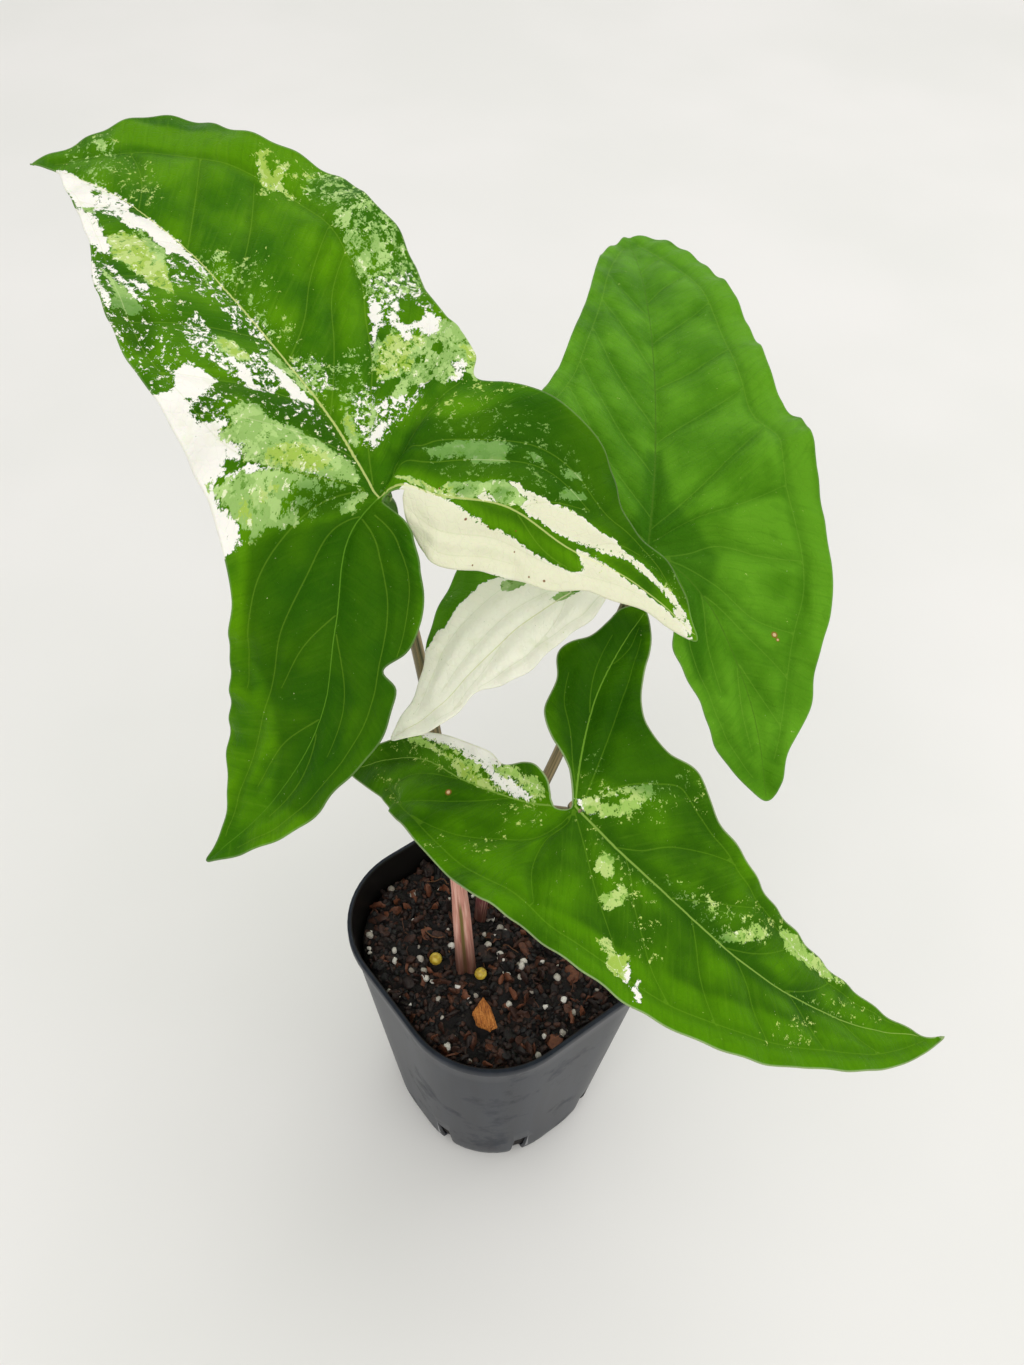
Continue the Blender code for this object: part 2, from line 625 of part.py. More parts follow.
def stalk_ring(centre, forward, groove, radius, sheath):
    """One section of a stalk: round, or with a groove down its inner side where it is a sheath."""
    forward = forward / np.linalg.norm(forward)
    out = groove - forward * (groove @ forward)
    out /= np.linalg.norm(out)
    side = np.cross(forward, out)
    ring = []
    for k in range(STALK_SIDES):
        turn = 2 * math.pi * k / STALK_SIDES
        away = math.atan2(math.sin(turn), math.cos(turn))
        dent = 1 - 0.42 * sheath * math.exp(-(away / 0.42) ** 2)
        wide = 1 + 0.12 * sheath
        ring.append(centre + radius * dent * (out * math.cos(turn) * (1 - 0.1 * sheath) + side * math.sin(turn) * wide))
    return ring


def stalk_end(stalk):
    """Where a stalk stops, just under its blade, in mm."""
    leaf = LEAVES[stalk["leaf"]]
    probe = bend_leaf(leaf, [(0.0, 1.5), (0.0, -0.8), (-1.5, 0.0), (1.5, 0.0)])
    normal = np.cross(probe[0] - probe[1], probe[2] - probe[3])
    normal /= np.linalg.norm(normal)
    if normal[2] < 0:
        normal = -normal
    drop = JOINT / MM + 0.5 + stalk["top"] * 0.6
    return np.array(leaf["joint"]) - normal * drop


def make_stalk(name, stalk, collection, finish):
    """A leaf stalk from its hole in the soil to its blade, with a grooved sheath at the foot."""
    path, length = smooth_path(stalk["path"] + [tuple(stalk_end(stalk))], 121)
    count = int(length / STALK_STEP)
    groove = np.array(stalk["groove"], float)
    rings = []
    for k in range(count + 1):
        place = k / count * 120
        low = min(int(place), 119)
        centre = path[low] + (path[low + 1] - path[low]) * (place - low)
        ahead = path[min(low + 1, 120)] - path[max(low - 1, 0)]
        share = k / count
        sheath = float(ease((SHEATH_TOP - centre[2]) / 12))
        radius = stalk["top"] + (stalk["foot"] - stalk["top"]) * (1 - share) ** 2.5
        if k == count:
            radius *= 0.6
        rings.append([tuple(p * MM) for p in stalk_ring(centre, ahead, groove, radius, sheath)])
    thing = add_object(name, loft(name, rings), collection, finish)
    for face in thing.data.polygons:
        face.use_smooth = True
    return thing


def main():
    clear_scene()
    parts = new_collection(NAME)
    cutters = new_collection(NAME + "_cutters")
    make_pot(parts, cutters, material("pot_plastic", "4b4c50", 0.45))
    soil = make_soil(parts, cutters, material("potting_mix", "33221a", 0.95))
    make_prills(parts, soil, material("fertiliser_prill", "c9ac3a", 0.4))
    make_chip(parts, material("bark", "9a5a30", 0.85))
    stalk_finish = material("stalk_skin", "7d6f52", 0.45)
    for name, stalk in STALKS.items():
        make_stalk(name, stalk, parts, stalk_finish)
    blade_finish = material("leaf_blade", "3f7d14", 0.4)
    for name, leaf in LEAVES.items():
        make_leaf(name, leaf, parts, blade_finish)


main()
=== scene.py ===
"""Looks of the arrowhead plant: three variegated blades, grooved stalks and a square nursery pot.

Everything is in metres in the frame of the CAD. Blade and stalk points are written in millimetres.
"""
import math

import bmesh
import bpy
import numpy as np
from mathutils import Matrix, Vector, noise
from mathutils.geometry import delaunay_2d_cdt
from mathutils.kdtree import KDTree


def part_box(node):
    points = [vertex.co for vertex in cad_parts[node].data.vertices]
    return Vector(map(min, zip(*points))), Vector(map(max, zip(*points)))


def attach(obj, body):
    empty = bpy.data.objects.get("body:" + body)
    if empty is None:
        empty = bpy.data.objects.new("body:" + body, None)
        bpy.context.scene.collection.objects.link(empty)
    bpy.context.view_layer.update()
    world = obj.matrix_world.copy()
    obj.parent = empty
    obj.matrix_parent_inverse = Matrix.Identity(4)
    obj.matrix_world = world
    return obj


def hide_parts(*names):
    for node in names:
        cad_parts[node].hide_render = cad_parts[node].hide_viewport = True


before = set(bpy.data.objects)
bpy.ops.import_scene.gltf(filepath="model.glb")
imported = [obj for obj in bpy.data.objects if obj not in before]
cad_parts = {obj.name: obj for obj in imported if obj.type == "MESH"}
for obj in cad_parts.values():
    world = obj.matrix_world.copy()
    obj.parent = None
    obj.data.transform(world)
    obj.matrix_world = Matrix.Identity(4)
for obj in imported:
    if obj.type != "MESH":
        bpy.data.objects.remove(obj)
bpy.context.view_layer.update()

MM = 0.001

# Camera of the photograph
CAMERA_PLACE = (-0.10887, -0.13296, 0.37081)
CAMERA_RIGHT = (0.79649, -0.60386, 0.03103)
CAMERA_UP = (0.43852, 0.61221, 0.65796)
CAMERA_LENS = 34.286         # mm
CAMERA_SENSOR = 36           # mm, its long side

# Blades: spacing of their points in mm
EDGE_STEP = 0.7              # along the margin
FILL_STEP = 0.68             # inside
VEIN_STEP = 0.6              # along the ribs and veins
ROW_INSET = 0.42             # between the margin and the row of points inside it
ROW_GAP = 0.36               # least distance of that row from the margin
LINE_INSET = 0.4             # least distance of the ribs' and veins' points from the margin
LINE_GAP = 0.3               # least distance of these from the points already there
CELL = 0.42                  # squares of which each has one point of the side veins
FILL_INSET = 0.8             # least distance of the fill from the margin
FILL_GAP = 0.42              # least distance of the fill from the other points

# Blades: shape
VEIN_WIDTH = 0.16            # mm, half the width of a side vein where it leaves its rib
THICK = 0.50                 # mm, between the veins
EDGE_THICK = 0.26            # mm, at the margin
WAVE = 1.2                   # mm, height of the margin's waves where the rib is WAVE_REACH away
WAVE_REACH = 25.0            # mm
WAVE_PITCH = 27.0            # mm
WAVE_SHIFT = 2.2             # radians, between the waves on the two sides of a rib
RIB_POINTS = 81              # points that a rib's curve is read from
RIB_LOOK = 12                # points to each side that give its direction
LEAN_REACH = 30.0            # mm along a rib, where a lobe's lean over the notch has run out
RUFFLE = 0.35                # mm, height of the small waves along the margin
RUFFLE_PITCH = 9.0           # mm
RIB_GROOVE = (0.34, 0.75)    # mm, depth and half width of the furrow over a rib
VEIN_GROOVE = (0.16, 0.42)   # mm, the same over a side vein
RIB_KEEL = (0.85, 0.8)       # mm, height and half width of a rib under the blade
VEIN_KEEL = (0.20, 0.45)     # mm, the same of a side vein
JOINT_SWELL = (1.5, 2.4)     # mm, thickness added at the stalk joint and its reach
BROAD_BUMPS = (0.26, 7.5)    # mm, height and width of the bumps of the whole blade
FINE_BUMPS = (0.07, 2.6)     # mm
PLEATS = (0.08, 3.1, 0.28)   # mm, height and width of the folds along the side veins, and their stretch

# Blades: marks
PATCH_BLUR = 1.0             # mm, over which a patch's field goes from outside to inside
SMOOTH_BLUR = 0.2            # mm, the same for the even-edged parts, cream and strip
TINT_BLUR = {"cream_and_shade": 3.0, "lime": 4.0, "deep_and_shade": 5.0}      # mm, over which a tint fades at its edge
FLECK_ZONE = 3.5             # mm, over which flecks thin out at the edge of their zone
JAG = 5.0                    # how strongly the fine noise counts against a patch's field
VEIN_SLANT = 0.62            # how far the finest veins run forward for each mm outward
GRAIN = 0.95                 # mm, unit of the fine patterns
SPECKS = {                   # small brown scars: leaf, place on the flat blade and radius in mm
    "leaf_left": [(11.6, -17.5, 0.30), (14.7, -21.9, 0.18), (20.0, -25.0, 0.18), (8.3, -27.3, 0.22),
                  (18.8, -28.8, 0.18), (21.2, -34.2, 0.20), (24.0, -35.6, 0.26), (10.7, -8.8, 0.18)],
    "leaf_right": [(25.8, -19.4, 0.7), (26.6, -20.3, 0.4)],
    "leaf_front": [(11.6, -26.6, 0.7)],
}

# Pot, as in the CAD, in m
POT_HEIGHT = 0.080
POT_TOP_SIDE = 0.070
POT_BASE_SIDE = 0.0535
POT_CORNER = 0.0232
WALL = 0.0009
FLOOR = 0.0012
RIM_BAND = 0.0026
RIM_STEP = 0.0005
FOOT_HEIGHT = 0.006          # where the wall begins to draw in towards the floor
FOOT_TUCK = 0.0012           # how much narrower the pot is at the floor
SLOT_WIDTH = 0.0040
SLOT_HEIGHT = 0.0135
SLOT_FROM_MIDDLE = 0.0113
CORNER_STEPS = 16            # segments of each round corner
SIDE_STEPS = 10              # segments of each straight side
EDGE_ROUND = 0.00022         # of the edges of the drain slots
NEAR_EDGE = 0.0004           # faces this near to a slot's edge are worn

# Potting mix, in m
SOIL_LEVEL = 0.0720
LUMP = 0.0010
SOIL_RINGS = 46
SOIL_SIDES = 72              # points on each quarter of a ring
SOIL_STRAIGHT = 16           # of these, on its straight side
SOIL_GAP = 0.0003            # between the mix and the pot
SOIL_RIM = 0.068             # height above which the mix's faces are its surface
GRAIN_MARGIN = 0.0014        # between the grains and the wall
FIBRE_MARGIN = 0.0065        # the same for the fibres, which are long
SPARE = 0.3                  # mm, kept free around the stalks and prills
CHIP_REACH = 4.2             # mm, kept free around the bark chip's middle

# Loose grains of the mix. The finish is a material's name, colours, roughness and mottle in mm. Stretch is
# the least and greatest along x, y and z, density the grains per square metre, size the smallest and
# largest, and rise the height of their middles over the soil.
GRAINS = {
    "crumbs": {"finish": ("peat_crumbs", ["060403", "100907", "26150e", "48291a"], 0.66, 0.6),
               "seed": 3, "stretch": ((0.7, 0.5, 0.4), (1.3, 1.0, 0.8)),
               "density": 6.0e5, "size": (0.0008, 0.0024), "rise": 0.0001},
    "bark_bits": {"finish": ("bark_flakes", ["0e0705", "22110a", "422212", "744228"], 0.64, 0.8),
                  "seed": 21, "stretch": ((0.8, 0.5, 0.15), (1.4, 0.9, 0.35)),
                  "density": 9.0e4, "size": (0.0018, 0.0046), "rise": 0.0004},
    "perlite": {"finish": ("expanded_perlite", ["8a8176", "cfc8bc", "f2eee6"], 0.9, 0.3),
                "seed": 43, "stretch": ((0.8, 0.8, 0.7), (1.2, 1.1, 1.0)),
                "density": 3.2e4, "size": (0.0005, 0.0022), "rise": 0.0006},
    "fibres": {"finish": ("coir_fibres", ["2a1a12", "573521", "8a5e38"], 0.7, 1.5),
               "seed": 61, "stretch": ((0.7, 0.7, 0.2), (1.3, 1.3, 0.5)),
               "density": 1.6e4, "size": (0.0022, 0.0060), "rise": 0.0007},
}

# Loose pieces on the soil: place (x, y) and radius in mm
PRILLS = {"prill_1": (-17.3, 4.75, 1.6), "prill_2": (-10.8, -5.7, 1.55)}
CHIP = {"place": (-16.9, -15.6), "thick": 2.0, "fibres": 62,     # degrees from the frame's x
        "outline": [(2.8, 4.4), (-2.0, 2.5), (-2.9, -0.8), (-1.4, -3.9), (0.9, -4.1), (2.6, 0.9)]}

# Light: place, point aimed at, diameter and power in W of each disk
LIGHTS = {
    "window": ((0.66, 0.18, 1.10), (0.02, 0, 0.1), 1.1, 3.2),
    "left": ((-0.75, -0.65, 1.1), (0, -0.05, 0.05), 1.2, 4.4),
    "front": ((0.25, -0.95, 1.1), (0, -0.05, 0.05), 1.2, 2.0),
}
SKY_COLOUR = "f6f6f4"
SKY_STRENGTH = 0.84
FLOOR_HALF = 1.5             # m, half the floor's side


def lobe(angle, rib, left_fold, right_fold, rib_width, lean=0.0):
    """One pointed part of a blade, as in the CAD, and the half width of its rib in mm at the joint."""
    return {"angle": math.radians(angle), "rib": rib, "left": left_fold, "right": right_fold,
            "rib_width": rib_width, "lean": lean}


# Marks of the blades: outlines in mm on the flat blade. White, pale and green patches lie over the green
# blade in that order. Cream and strip are white and pale patches with even edges. Cream, lime and deep are
# also tints. The cream is partly painted shade on white that lies in shade, and the deep partly painted
# shade. The flecks are zones where patches break up, each with a density from 0 to 1.
LEFT_MARKS = {
    "white": [
        [(1, 106), (0, 98), (0, 84), (-6, 82), (-9, 90), (-4, 101)],
        [(-10, 92), (-9, 88.5), (-8.5, 86), (-10, 82.5), (-11, 79.5), (-12.5, 76), (-14.5, 74), (-15, 75.5),
        (-15.5, 78), (-18, 76), (-18.5, 73), (-19.5, 70.5), (-21.5, 66.5), (-23, 62.5), (-23, 61),
        (-25, 59), (-25, 60.5), (-24, 64), (-22.5, 68), (-21, 71.5), (-19, 75), (-17, 79.5), (-14, 84),
        (-11.5, 88.5)],
        [(-17, 74.5), (-16.5, 73.5), (-17, 70), (-18, 64), (-19, 61), (-19, 57), (-18, 58), (-18, 60),
        (-17.5, 62.5), (-16.5, 68.5), (-16, 72)],
        [(-16, 65), (-15, 63.5), (-14.5, 61.5), (-15, 60), (-16, 60), (-16.5, 62.5)],
        [(-3.5, 85), (-2.5, 84), (-2, 80.5), (0, 78.5), (0, 70.5), (-0.5, 65.5), (-0.5, 59.5), (-1.5, 58.5),
        (-2.5, 61), (-2, 64.5), (-3, 66.5), (-5, 67), (-4.5, 68.5), (-4, 72.5), (-3.5, 75.5), (-5.5, 77),
        (-6, 79.5), (-6, 81.5)],
        [(-19, 42), (-18, 40), (-17, 37.5), (-16.5, 36), (-19, 35), (-21, 34), (-24, 33.5), (-26, 32),
        (-25.5, 30), (-22, 28.5), (-19.5, 28), (-21, 27), (-23, 26), (-21.5, 24), (-20, 22.5), (-19, 22),
        (-20.5, 21.5), (-21, 20), (-23, 22), (-24.5, 21.5), (-24, 20.5), (-25.5, 20.5), (-27.5, 21),
        (-27.5, 19.5), (-26.5, 18.5), (-26.5, 16), (-25, 13.5), (-25, 12), (-25.5, 10.5), (-27, 11),
        (-28, 11), (-27.5, 12.5), (-28, 15), (-28.5, 18), (-29.5, 21.5), (-29.5, 26.5), (-29, 28.5),
        (-29, 31), (-29.5, 33.5), (-31, 35), (-30, 39.5), (-28, 38), (-26, 37.5), (-24, 40), (-22.5, 41.5)],
        [(-24.5, 19.5), (-22.5, 19), (-19.5, 18.5), (-18, 16.5), (-15.5, 14.5), (-18, 16), (-21, 17),
        (-23, 18)],
        [(-4.5, 36.5), (-3, 34.5), (-2, 31), (-2, 28), (-1, 23.5), (-1, 22.5), (-3, 24.5), (-4.5, 26.5),
        (-5, 29.5), (-5, 33)],
        [(-10.5, 44.5), (-9.5, 43.5), (-10.5, 41), (-10, 38.5), (-10, 34), (-9, 30.5), (-11, 31.5),
        (-12, 34.5), (-11.5, 38.5), (-11, 42)],
        [(-13, 16.5), (-9, 10.5), (-6.5, 7), (-8.5, 8.5), (-11, 11), (-13, 14.5)],
        [(-7.5, 14.5), (-5.5, 13), (-5.5, 9.5), (-7, 10.5), (-7.5, 12.5)],
        [(4, 16.5), (4.5, 13.5), (4, 12.5), (3.5, 14.5)],
        [(5, 12.5), (8.5, 14), (8.5, 12.5), (6.5, 11), (3.5, 10), (4, 12)],
        [(8.5, 15), (12.5, 18), (11, 15.5), (8.5, 13.5)],
        [(22.5, 36), (24, 35), (23.5, 33.5), (22, 32), (22, 31.5), (20, 30.5), (18, 29), (16.5, 27.5),
        (15, 26.5), (21, 34)],
        [(24, 31), (26.5, 32.5), (28, 33), (26.5, 31), (24.5, 30.5), (23.5, 28.5), (24.5, 27), (27.5, 26),
        (29.5, 26.5), (30, 25.5), (31, 22.5), (29.5, 22.5), (29, 21), (28, 21), (27, 22), (25.5, 23),
        (26, 24), (25, 25.5), (23.5, 24), (22, 24.5), (21.5, 26), (22, 27.5), (22, 29), (22.5, 30.5)],
        [(29, 13.5), (31.5, 12.5), (31.5, 12), (30, 10.5), (28, 9.5), (26.5, 10), (25.5, 11.5),
        (28.5, 11.5)],
        [(12.5, 17), (14.5, 17), (16.5, 18), (17.5, 17.5), (17.5, 16.5), (14.5, 14.5), (12.5, 15.5)],
        [(19, 21.5), (20.5, 21), (20, 19.5), (18.5, 19.5), (18, 20.5)],
        [(20, 18.5), (21.5, 19), (21.5, 14.5), (19.5, 14), (19.5, 16.5)],
        [(-13, 16.5), (-9.5, 12.5), (-4.5, 6), (-8.5, 9.5), (-12, 13)],
        [(-31, 39.5), (-34, 35), (-33, 25), (-32, 18), (-32, 12), (-27, 11), (-26, 15), (-27, 20),
        (-28, 26), (-28, 33), (-28.5, 38)],
    ],
    "pale": [
        [(-11, 79.5), (-8, 78), (-6, 76.5), (-6, 73), (-7.5, 69.5), (-8, 67), (-7, 65.5), (-9, 61),
        (-10, 58.5), (-11, 57.5), (-12, 58.5), (-13.5, 60.5), (-14, 62.5), (-13, 64.5), (-14, 66.5),
        (-14, 69.5), (-14.5, 71.5), (-14, 74), (-12, 77)],
        [(-5, 76.5), (-4, 76), (-4.5, 72.5), (-4.5, 69), (-5.5, 66.5), (-8, 65.5), (-8.5, 68.5),
        (-7, 71.5)],
        [(-19, 71), (-18, 70), (-18.5, 67), (-18.5, 63.5), (-19, 60.5), (-19, 58), (-19.5, 56), (-21.5, 56),
        (-22.5, 58.5), (-24.5, 58.5), (-24, 60), (-22, 61.5), (-20.5, 65), (-19.5, 68)],
        [(-8, 90), (-6.5, 87.5), (-8.5, 86), (-9, 88)],
        [(-19, 29.5), (-15, 29.5), (-13, 28), (-12, 25), (-9.5, 21.5), (-7.5, 19), (-5, 15.5), (-3.5, 12),
        (-1.5, 9.5), (-1.5, 5.5), (-2.5, 3.5), (-5.5, 6), (-7.5, 7.5), (-9.5, 9.5), (-15.5, 14.5),
        (-18, 17), (-20, 19.5), (-20.5, 21.5), (-19, 21.5), (-23, 25.5), (-21.5, 26.5), (-19.5, 25),
        (-19.5, 27.5)],
        [(-27.5, 21), (-27, 20.5), (-25.5, 19.5), (-24, 19), (-21.5, 18.5), (-20, 17), (-17.5, 15.5),
        (-15, 13.5), (-12, 10.5), (-14, 10.5), (-15, 9.5), (-16.5, 9), (-16.5, 8), (-18, 8), (-18.5, 7.5),
        (-20.5, 8.5), (-22.5, 9), (-24, 9.5), (-23.5, 10.5), (-24.5, 11.5), (-24.5, 13), (-25.5, 14.5),
        (-26, 17), (-26.5, 18.5)],
        [(-18.5, 6.5), (-18.5, 8), (-12.5, 6), (-10.5, 6.5), (-11.5, 7), (-14, 8), (-15, 8), (-13.5, 6.5),
        (-15, 5.5), (-14, 4.5), (-16.5, 5.5), (-18, 6)],
        [(-7.5, 0.5), (-7, 2), (-5, 2.5), (-3, 2.5), (-1.5, 1.5), (-3, 1), (-5, -0.5), (-6, -0.5)],
        [(-12, 10.5), (-9.5, 7.5), (-5.5, 5.5), (-4.5, 4), (-9, 6.5), (-13, 9), (-14.5, 10), (-13, 10)],
        [(-10.5, 45), (-9, 44.5), (-7.5, 41.5), (-7, 38), (-7.5, 37), (-9.5, 37), (-10.5, 39.5), (-12, 42)],
        [(-2, 38.5), (-1.5, 36.5), (-0.5, 33.5), (0, 30.5), (-1, 25.5), (-2, 31.5), (-3.5, 34), (-3.5, 36)],
        [(3, 20), (3.5, 18), (3, 15), (2.5, 12.5), (1, 11.5), (0.5, 13.5), (1.5, 17)],
        [(6.5, 15.5), (8.5, 18), (9, 17.5), (7.5, 15), (5, 13)],
        [(15, 26.5), (17, 28), (19, 29), (20.5, 29), (22, 28.5), (22, 24.5), (23.5, 24), (26, 24),
        (26.5, 22), (28, 21), (30.5, 22.5), (32.5, 21), (34, 19.5), (35.5, 17.5), (35.5, 14.5), (34.5, 11),
        (32.5, 8), (30.5, 8.5), (30.5, 10.5), (31.5, 12.5), (29, 13.5), (28, 11), (25, 10), (23.5, 13),
        (21.5, 14.5), (19, 15), (16, 15.5), (13, 16.5), (13.5, 19.5), (12.5, 21), (13, 23.5)],
        [(13, -1), (16.5, -2.5), (19, -2.5), (21.5, -4), (25, -6.5), (27.5, -9), (26, -10), (25, -10.5),
        (25, -12), (23, -11.5), (19.5, -8), (17.5, -4.5), (16, -5), (13.5, -3)],
        [(32.5, -16.5), (35, -15.5), (37, -17.5), (34.5, -17.5)],
        [(31.5, -19), (34, -19), (36.5, -20.5), (37, -21.5), (33, -21.5), (31.5, -20.5)],
        [(28.5, -12), (30, -12), (30.5, -13.5), (28.5, -13)],
        [(-1, 63.5), (-1, 58.5), (-2, 57.5), (-2, 60.5)],
        [(11, 103), (12, 101), (10, 99), (9, 100)],
        [(28, 75), (29, 74), (27, 73), (26, 70), (29, 71), (31, 70), (27, 68), (26, 64), (25, 67), (23, 70),
        (25, 73)],
        [(30, 54), (31, 53), (31, 52), (27, 49), (27, 51)],
        [(31, 46), (33, 47), (33, 45), (32, 43), (33, 41), (29, 41), (30, 42)],
        [(26, 45), (30, 45), (28, 42), (24, 40)],
    ],
    "green": [
        [(-16, 78.5), (-16, 76.5), (-15.5, 75), (-15, 72.5), (-14, 69.5), (-14, 62.5), (-15, 63.5),
        (-16.5, 65.5), (-16.5, 68), (-16, 71), (-16, 74), (-17, 75.5)],
        [(-19.5, 71.5), (-19.5, 69), (-21.5, 64.5), (-21, 62.5), (-22.5, 62.5), (-22, 65), (-21, 68.5)],
        [(27.5, 32.5), (29, 32), (29.5, 30.5), (29.5, 26.5), (27.5, 25.5), (27, 26.5), (25, 27.5),
        (23.5, 28.5), (24.5, 29.5), (26, 30.5)],
        [(26, 20), (27.5, 20), (28.5, 18), (28, 16.5), (26.5, 17.5), (25.5, 19)],
        [(21, 20.5), (23, 21), (24, 19.5), (23.5, 19), (21.5, 19.5), (21, 19.5)],
        [(19, 29.5), (22, 29.5), (22, 28.5), (18.5, 27), (17, 27)],
        [(14, 24.5), (16.5, 24.5), (15.5, 23.5), (14, 23.5)],
        [(11, 20), (13.5, 20.5), (17, 19.5), (17, 19), (14.5, 18), (12.5, 17.5), (9.5, 18)],
        [(16, 15), (18, 16.5), (19.5, 16), (18.5, 14.5), (16.5, 14)],
        [(19, 13.5), (22, 13.5), (23.5, 11.5), (21, 11.5), (19, 12)],
        [(-3, 93), (-2, 91), (-2, 90), (-4, 91)],
        [(11, -11.5), (13.5, -13.5), (15.5, -16), (19, -19), (21.5, -21.5), (24, -23.5), (26, -26.5),
        (29, -28.5), (31, -30.5), (32, -35.5), (30, -35), (29, -34.5), (25, -30.5), (22, -28.5),
        (20.5, -27), (15.5, -23), (14, -21), (12, -15)],
        [(32, -29.5), (35, -31.5), (36, -33.5), (39, -35.5), (41, -37), (44, -41), (46.5, -43), (47.5, -45),
        (49, -47.5), (45.5, -46), (43, -43), (40.5, -40.5), (35.5, -34.5), (34, -32.5)],
    ],
    # white that lies in shade, painted cream: partly cream tissue and partly painted shade
    "cream_and_shade": [
        [(3.5, -4.5), (5, -4.5), (7, -7), (9, -9), (11, -12), (13.5, -18.5), (18, -25), (22, -29),
        (27, -33), (30, -35.5), (31.5, -36), (32, -33), (31.5, -30.5), (34.5, -33), (39.5, -40),
        (46.5, -47), (49.5, -49.5), (51.5, -54), (45.5, -51.5), (41, -47), (32.5, -45), (25.5, -40),
        (19, -35), (4.6, -27.5), (0.4, -21.5), (-0.6, -17.5), (-0.2, -14), (0.6, -10.5), (1.4, -7.5)],
        [(22.5, -15.5), (24, -16.5), (24.5, -18), (27, -19.5), (28.5, -20.5), (29, -21.5), (30.5, -22),
        (33, -23), (35, -25), (36.5, -27.5), (38, -29.5), (40, -31.5), (41.5, -34.5), (43, -37),
        (45, -39.5), (46.5, -42), (48.5, -43.5), (49.5, -46), (51, -48.5), (52, -51.5), (52, -54),
        (49.5, -49.5), (48.5, -47.5), (47.5, -45), (46, -43), (44, -40.5), (42.5, -39), (41, -36.5),
        (38, -34.5), (32, -29.5), (28, -26.5), (25.5, -24), (23.5, -22.5), (22.5, -20.5), (24.5, -20),
        (23.5, -18.5)],
        [(16, -14.5), (17.5, -15), (18.5, -16.5), (18.5, -18), (17.5, -17.5), (16, -16)],
    ],
    "strip": [
        [(10.5, -8.5), (13, -9), (16, -11), (18, -13), (20, -14), (21.5, -14.5), (22.5, -15.5),
        (23.5, -18.5), (24.5, -20), (22.5, -20.5), (19.5, -19.5), (18.5, -18), (18.5, -16.5), (17.5, -15),
        (16, -14.5), (16, -16), (15, -15), (12.5, -13), (11, -11), (10.5, -9)],
        [(4, -1), (6.5, -4), (9, -6.5), (10.5, -9), (11, -11.5), (9.5, -9), (6, -5), (4.5, -3)],
    ],
    "lime": [
        [(-13, 64.5), (-8, 67), (-7, 65.5), (-9, 61), (-10, 58.5), (-11, 57.5), (-12, 58.5), (-13.5, 60.5)],
        [(-8, 78), (-6, 76.5), (-6, 73), (-9.5, 70), (-10, 75)],
        [(-17, 18.5), (-11.5, 17.5), (-5.5, 13), (-6.5, 9), (-12, 12), (-16.5, 16)],
        [(-19, 13.5), (-16, 12), (-17, 11.5), (-19.5, 12)],
        [(-23.5, 14.5), (-21, 13.5), (-22.5, 11.5), (-24, 13.5)],
        [(15, 25.5), (22.5, 28), (25.5, 25), (25.5, 22), (22, 22.5), (20, 19.5), (14.5, 21), (12, 21.5)],
        [(32.5, 15.5), (35.5, 16), (34.5, 11.5), (31.5, 10)],
        [(4, -1), (6.5, -4), (11, -8), (13.5, -10), (12, -11.5), (10, -9.5), (6, -5)],
        [(22, -9.5), (25, -10.5), (25, -12), (23, -11.5)],
        [(-10.5, 45), (-9, 44.5), (-7, 38), (-7.5, 37), (-10.5, 39.5)],
        [(3, 20), (3.5, 18), (2.5, 12.5), (1.5, 17)],
        [(19, 103), (28, 80), (37, 67), (26, 63), (21, 74), (16, 91), (12, 101)],
        [(-11, 79.5), (-6, 76.5), (-6, 73), (-8, 67), (-9, 61), (-11, 57.5), (-13.5, 60.5), (-13, 64.5),
        (-14, 69.5), (-14, 74)],
        [(11, -11.5), (13.5, -13.5), (15.5, -16), (19, -19), (21.5, -21.5), (24, -23.5), (26, -26.5),
        (29, -28.5), (31, -30.5), (32, -35.5), (30, -35), (29, -34.5), (25, -30.5), (22, -28.5),
        (20.5, -27), (15.5, -23), (14, -21), (12, -15)],
    ],
    # partly deeper green and partly painted shade
    "deep_and_shade": [
        [(6.5, 6), (14.5, -4.5), (23, -12), (34.5, -23.5), (41, -32.5), (47, -39.5), (51.5, -47.5),
        (53, -40), (49, -37.5), (44, -35), (43.5, -26), (43.5, -14.5), (40.5, -9), (31.5, -5), (20, 3),
        (13, 7.5)],
        [(-16, 36), (-11.5, 31), (-5.5, 26.5), (-1, 22.5), (-0.5, 15), (0.5, 8.5), (-4, 15), (-9.5, 22),
        (-12.5, 26.5), (-15, 31), (-20, 32), (-25.5, 30), (-26, 32), (-22.5, 34)],
        [(-12, 10.5), (-8.5, 8), (-4.5, 4), (-1, 1.5), (-5, 2), (-7.5, 0.5), (-12.5, 3.5), (-15.5, 7.5)],
        [(-24, 9.5), (-19, 6.5), (-14.5, 4), (-9.5, 1), (-5, -1.5), (-2.5, 0), (0, -0.5), (1, -6.5),
        (-1, -13.5), (-9, -22), (-25.5, -30.5), (-36.5, -35.5), (-53, -36.5), (-61, -28), (-42, -2)],
        [(14, -14), (16.5, -16.5), (19, -19.5), (21.5, -21.5), (23.5, -24), (26, -26.5), (29, -28.5),
        (31, -30.5), (29.5, -30.5), (27, -28.5), (23.5, -25.5), (21, -24), (17.5, -21.5), (15.5, -18.5),
        (14, -15.5)],
        [(37, -35), (41, -37), (42.5, -39.5), (44.5, -41), (47.5, -45.5), (43, -43)],
        [(18.5, -16.5), (20.5, -16), (23.5, -17), (21.5, -17.5), (19.5, -17.5)],
        [(13, -10.5), (15.5, -11.5), (15.5, -13.5), (13, -12.5)],
        [(-25.5, 61), (-20.5, 61), (-18, 56), (-19, 51.5), (-22.5, 48), (-26, 49), (-27, 52.5),
        (-27.5, 57)],
        [(6, 8), (14, 4), (24, 1), (36, -1), (41, -8), (46, -17), (46, -26), (47, -36), (50, -44),
        (45, -38), (39, -30), (32, -22), (25, -19.5), (22, -15), (18, -12), (11.5, -7), (7, -2)],
    ],
    "white_flecks": [
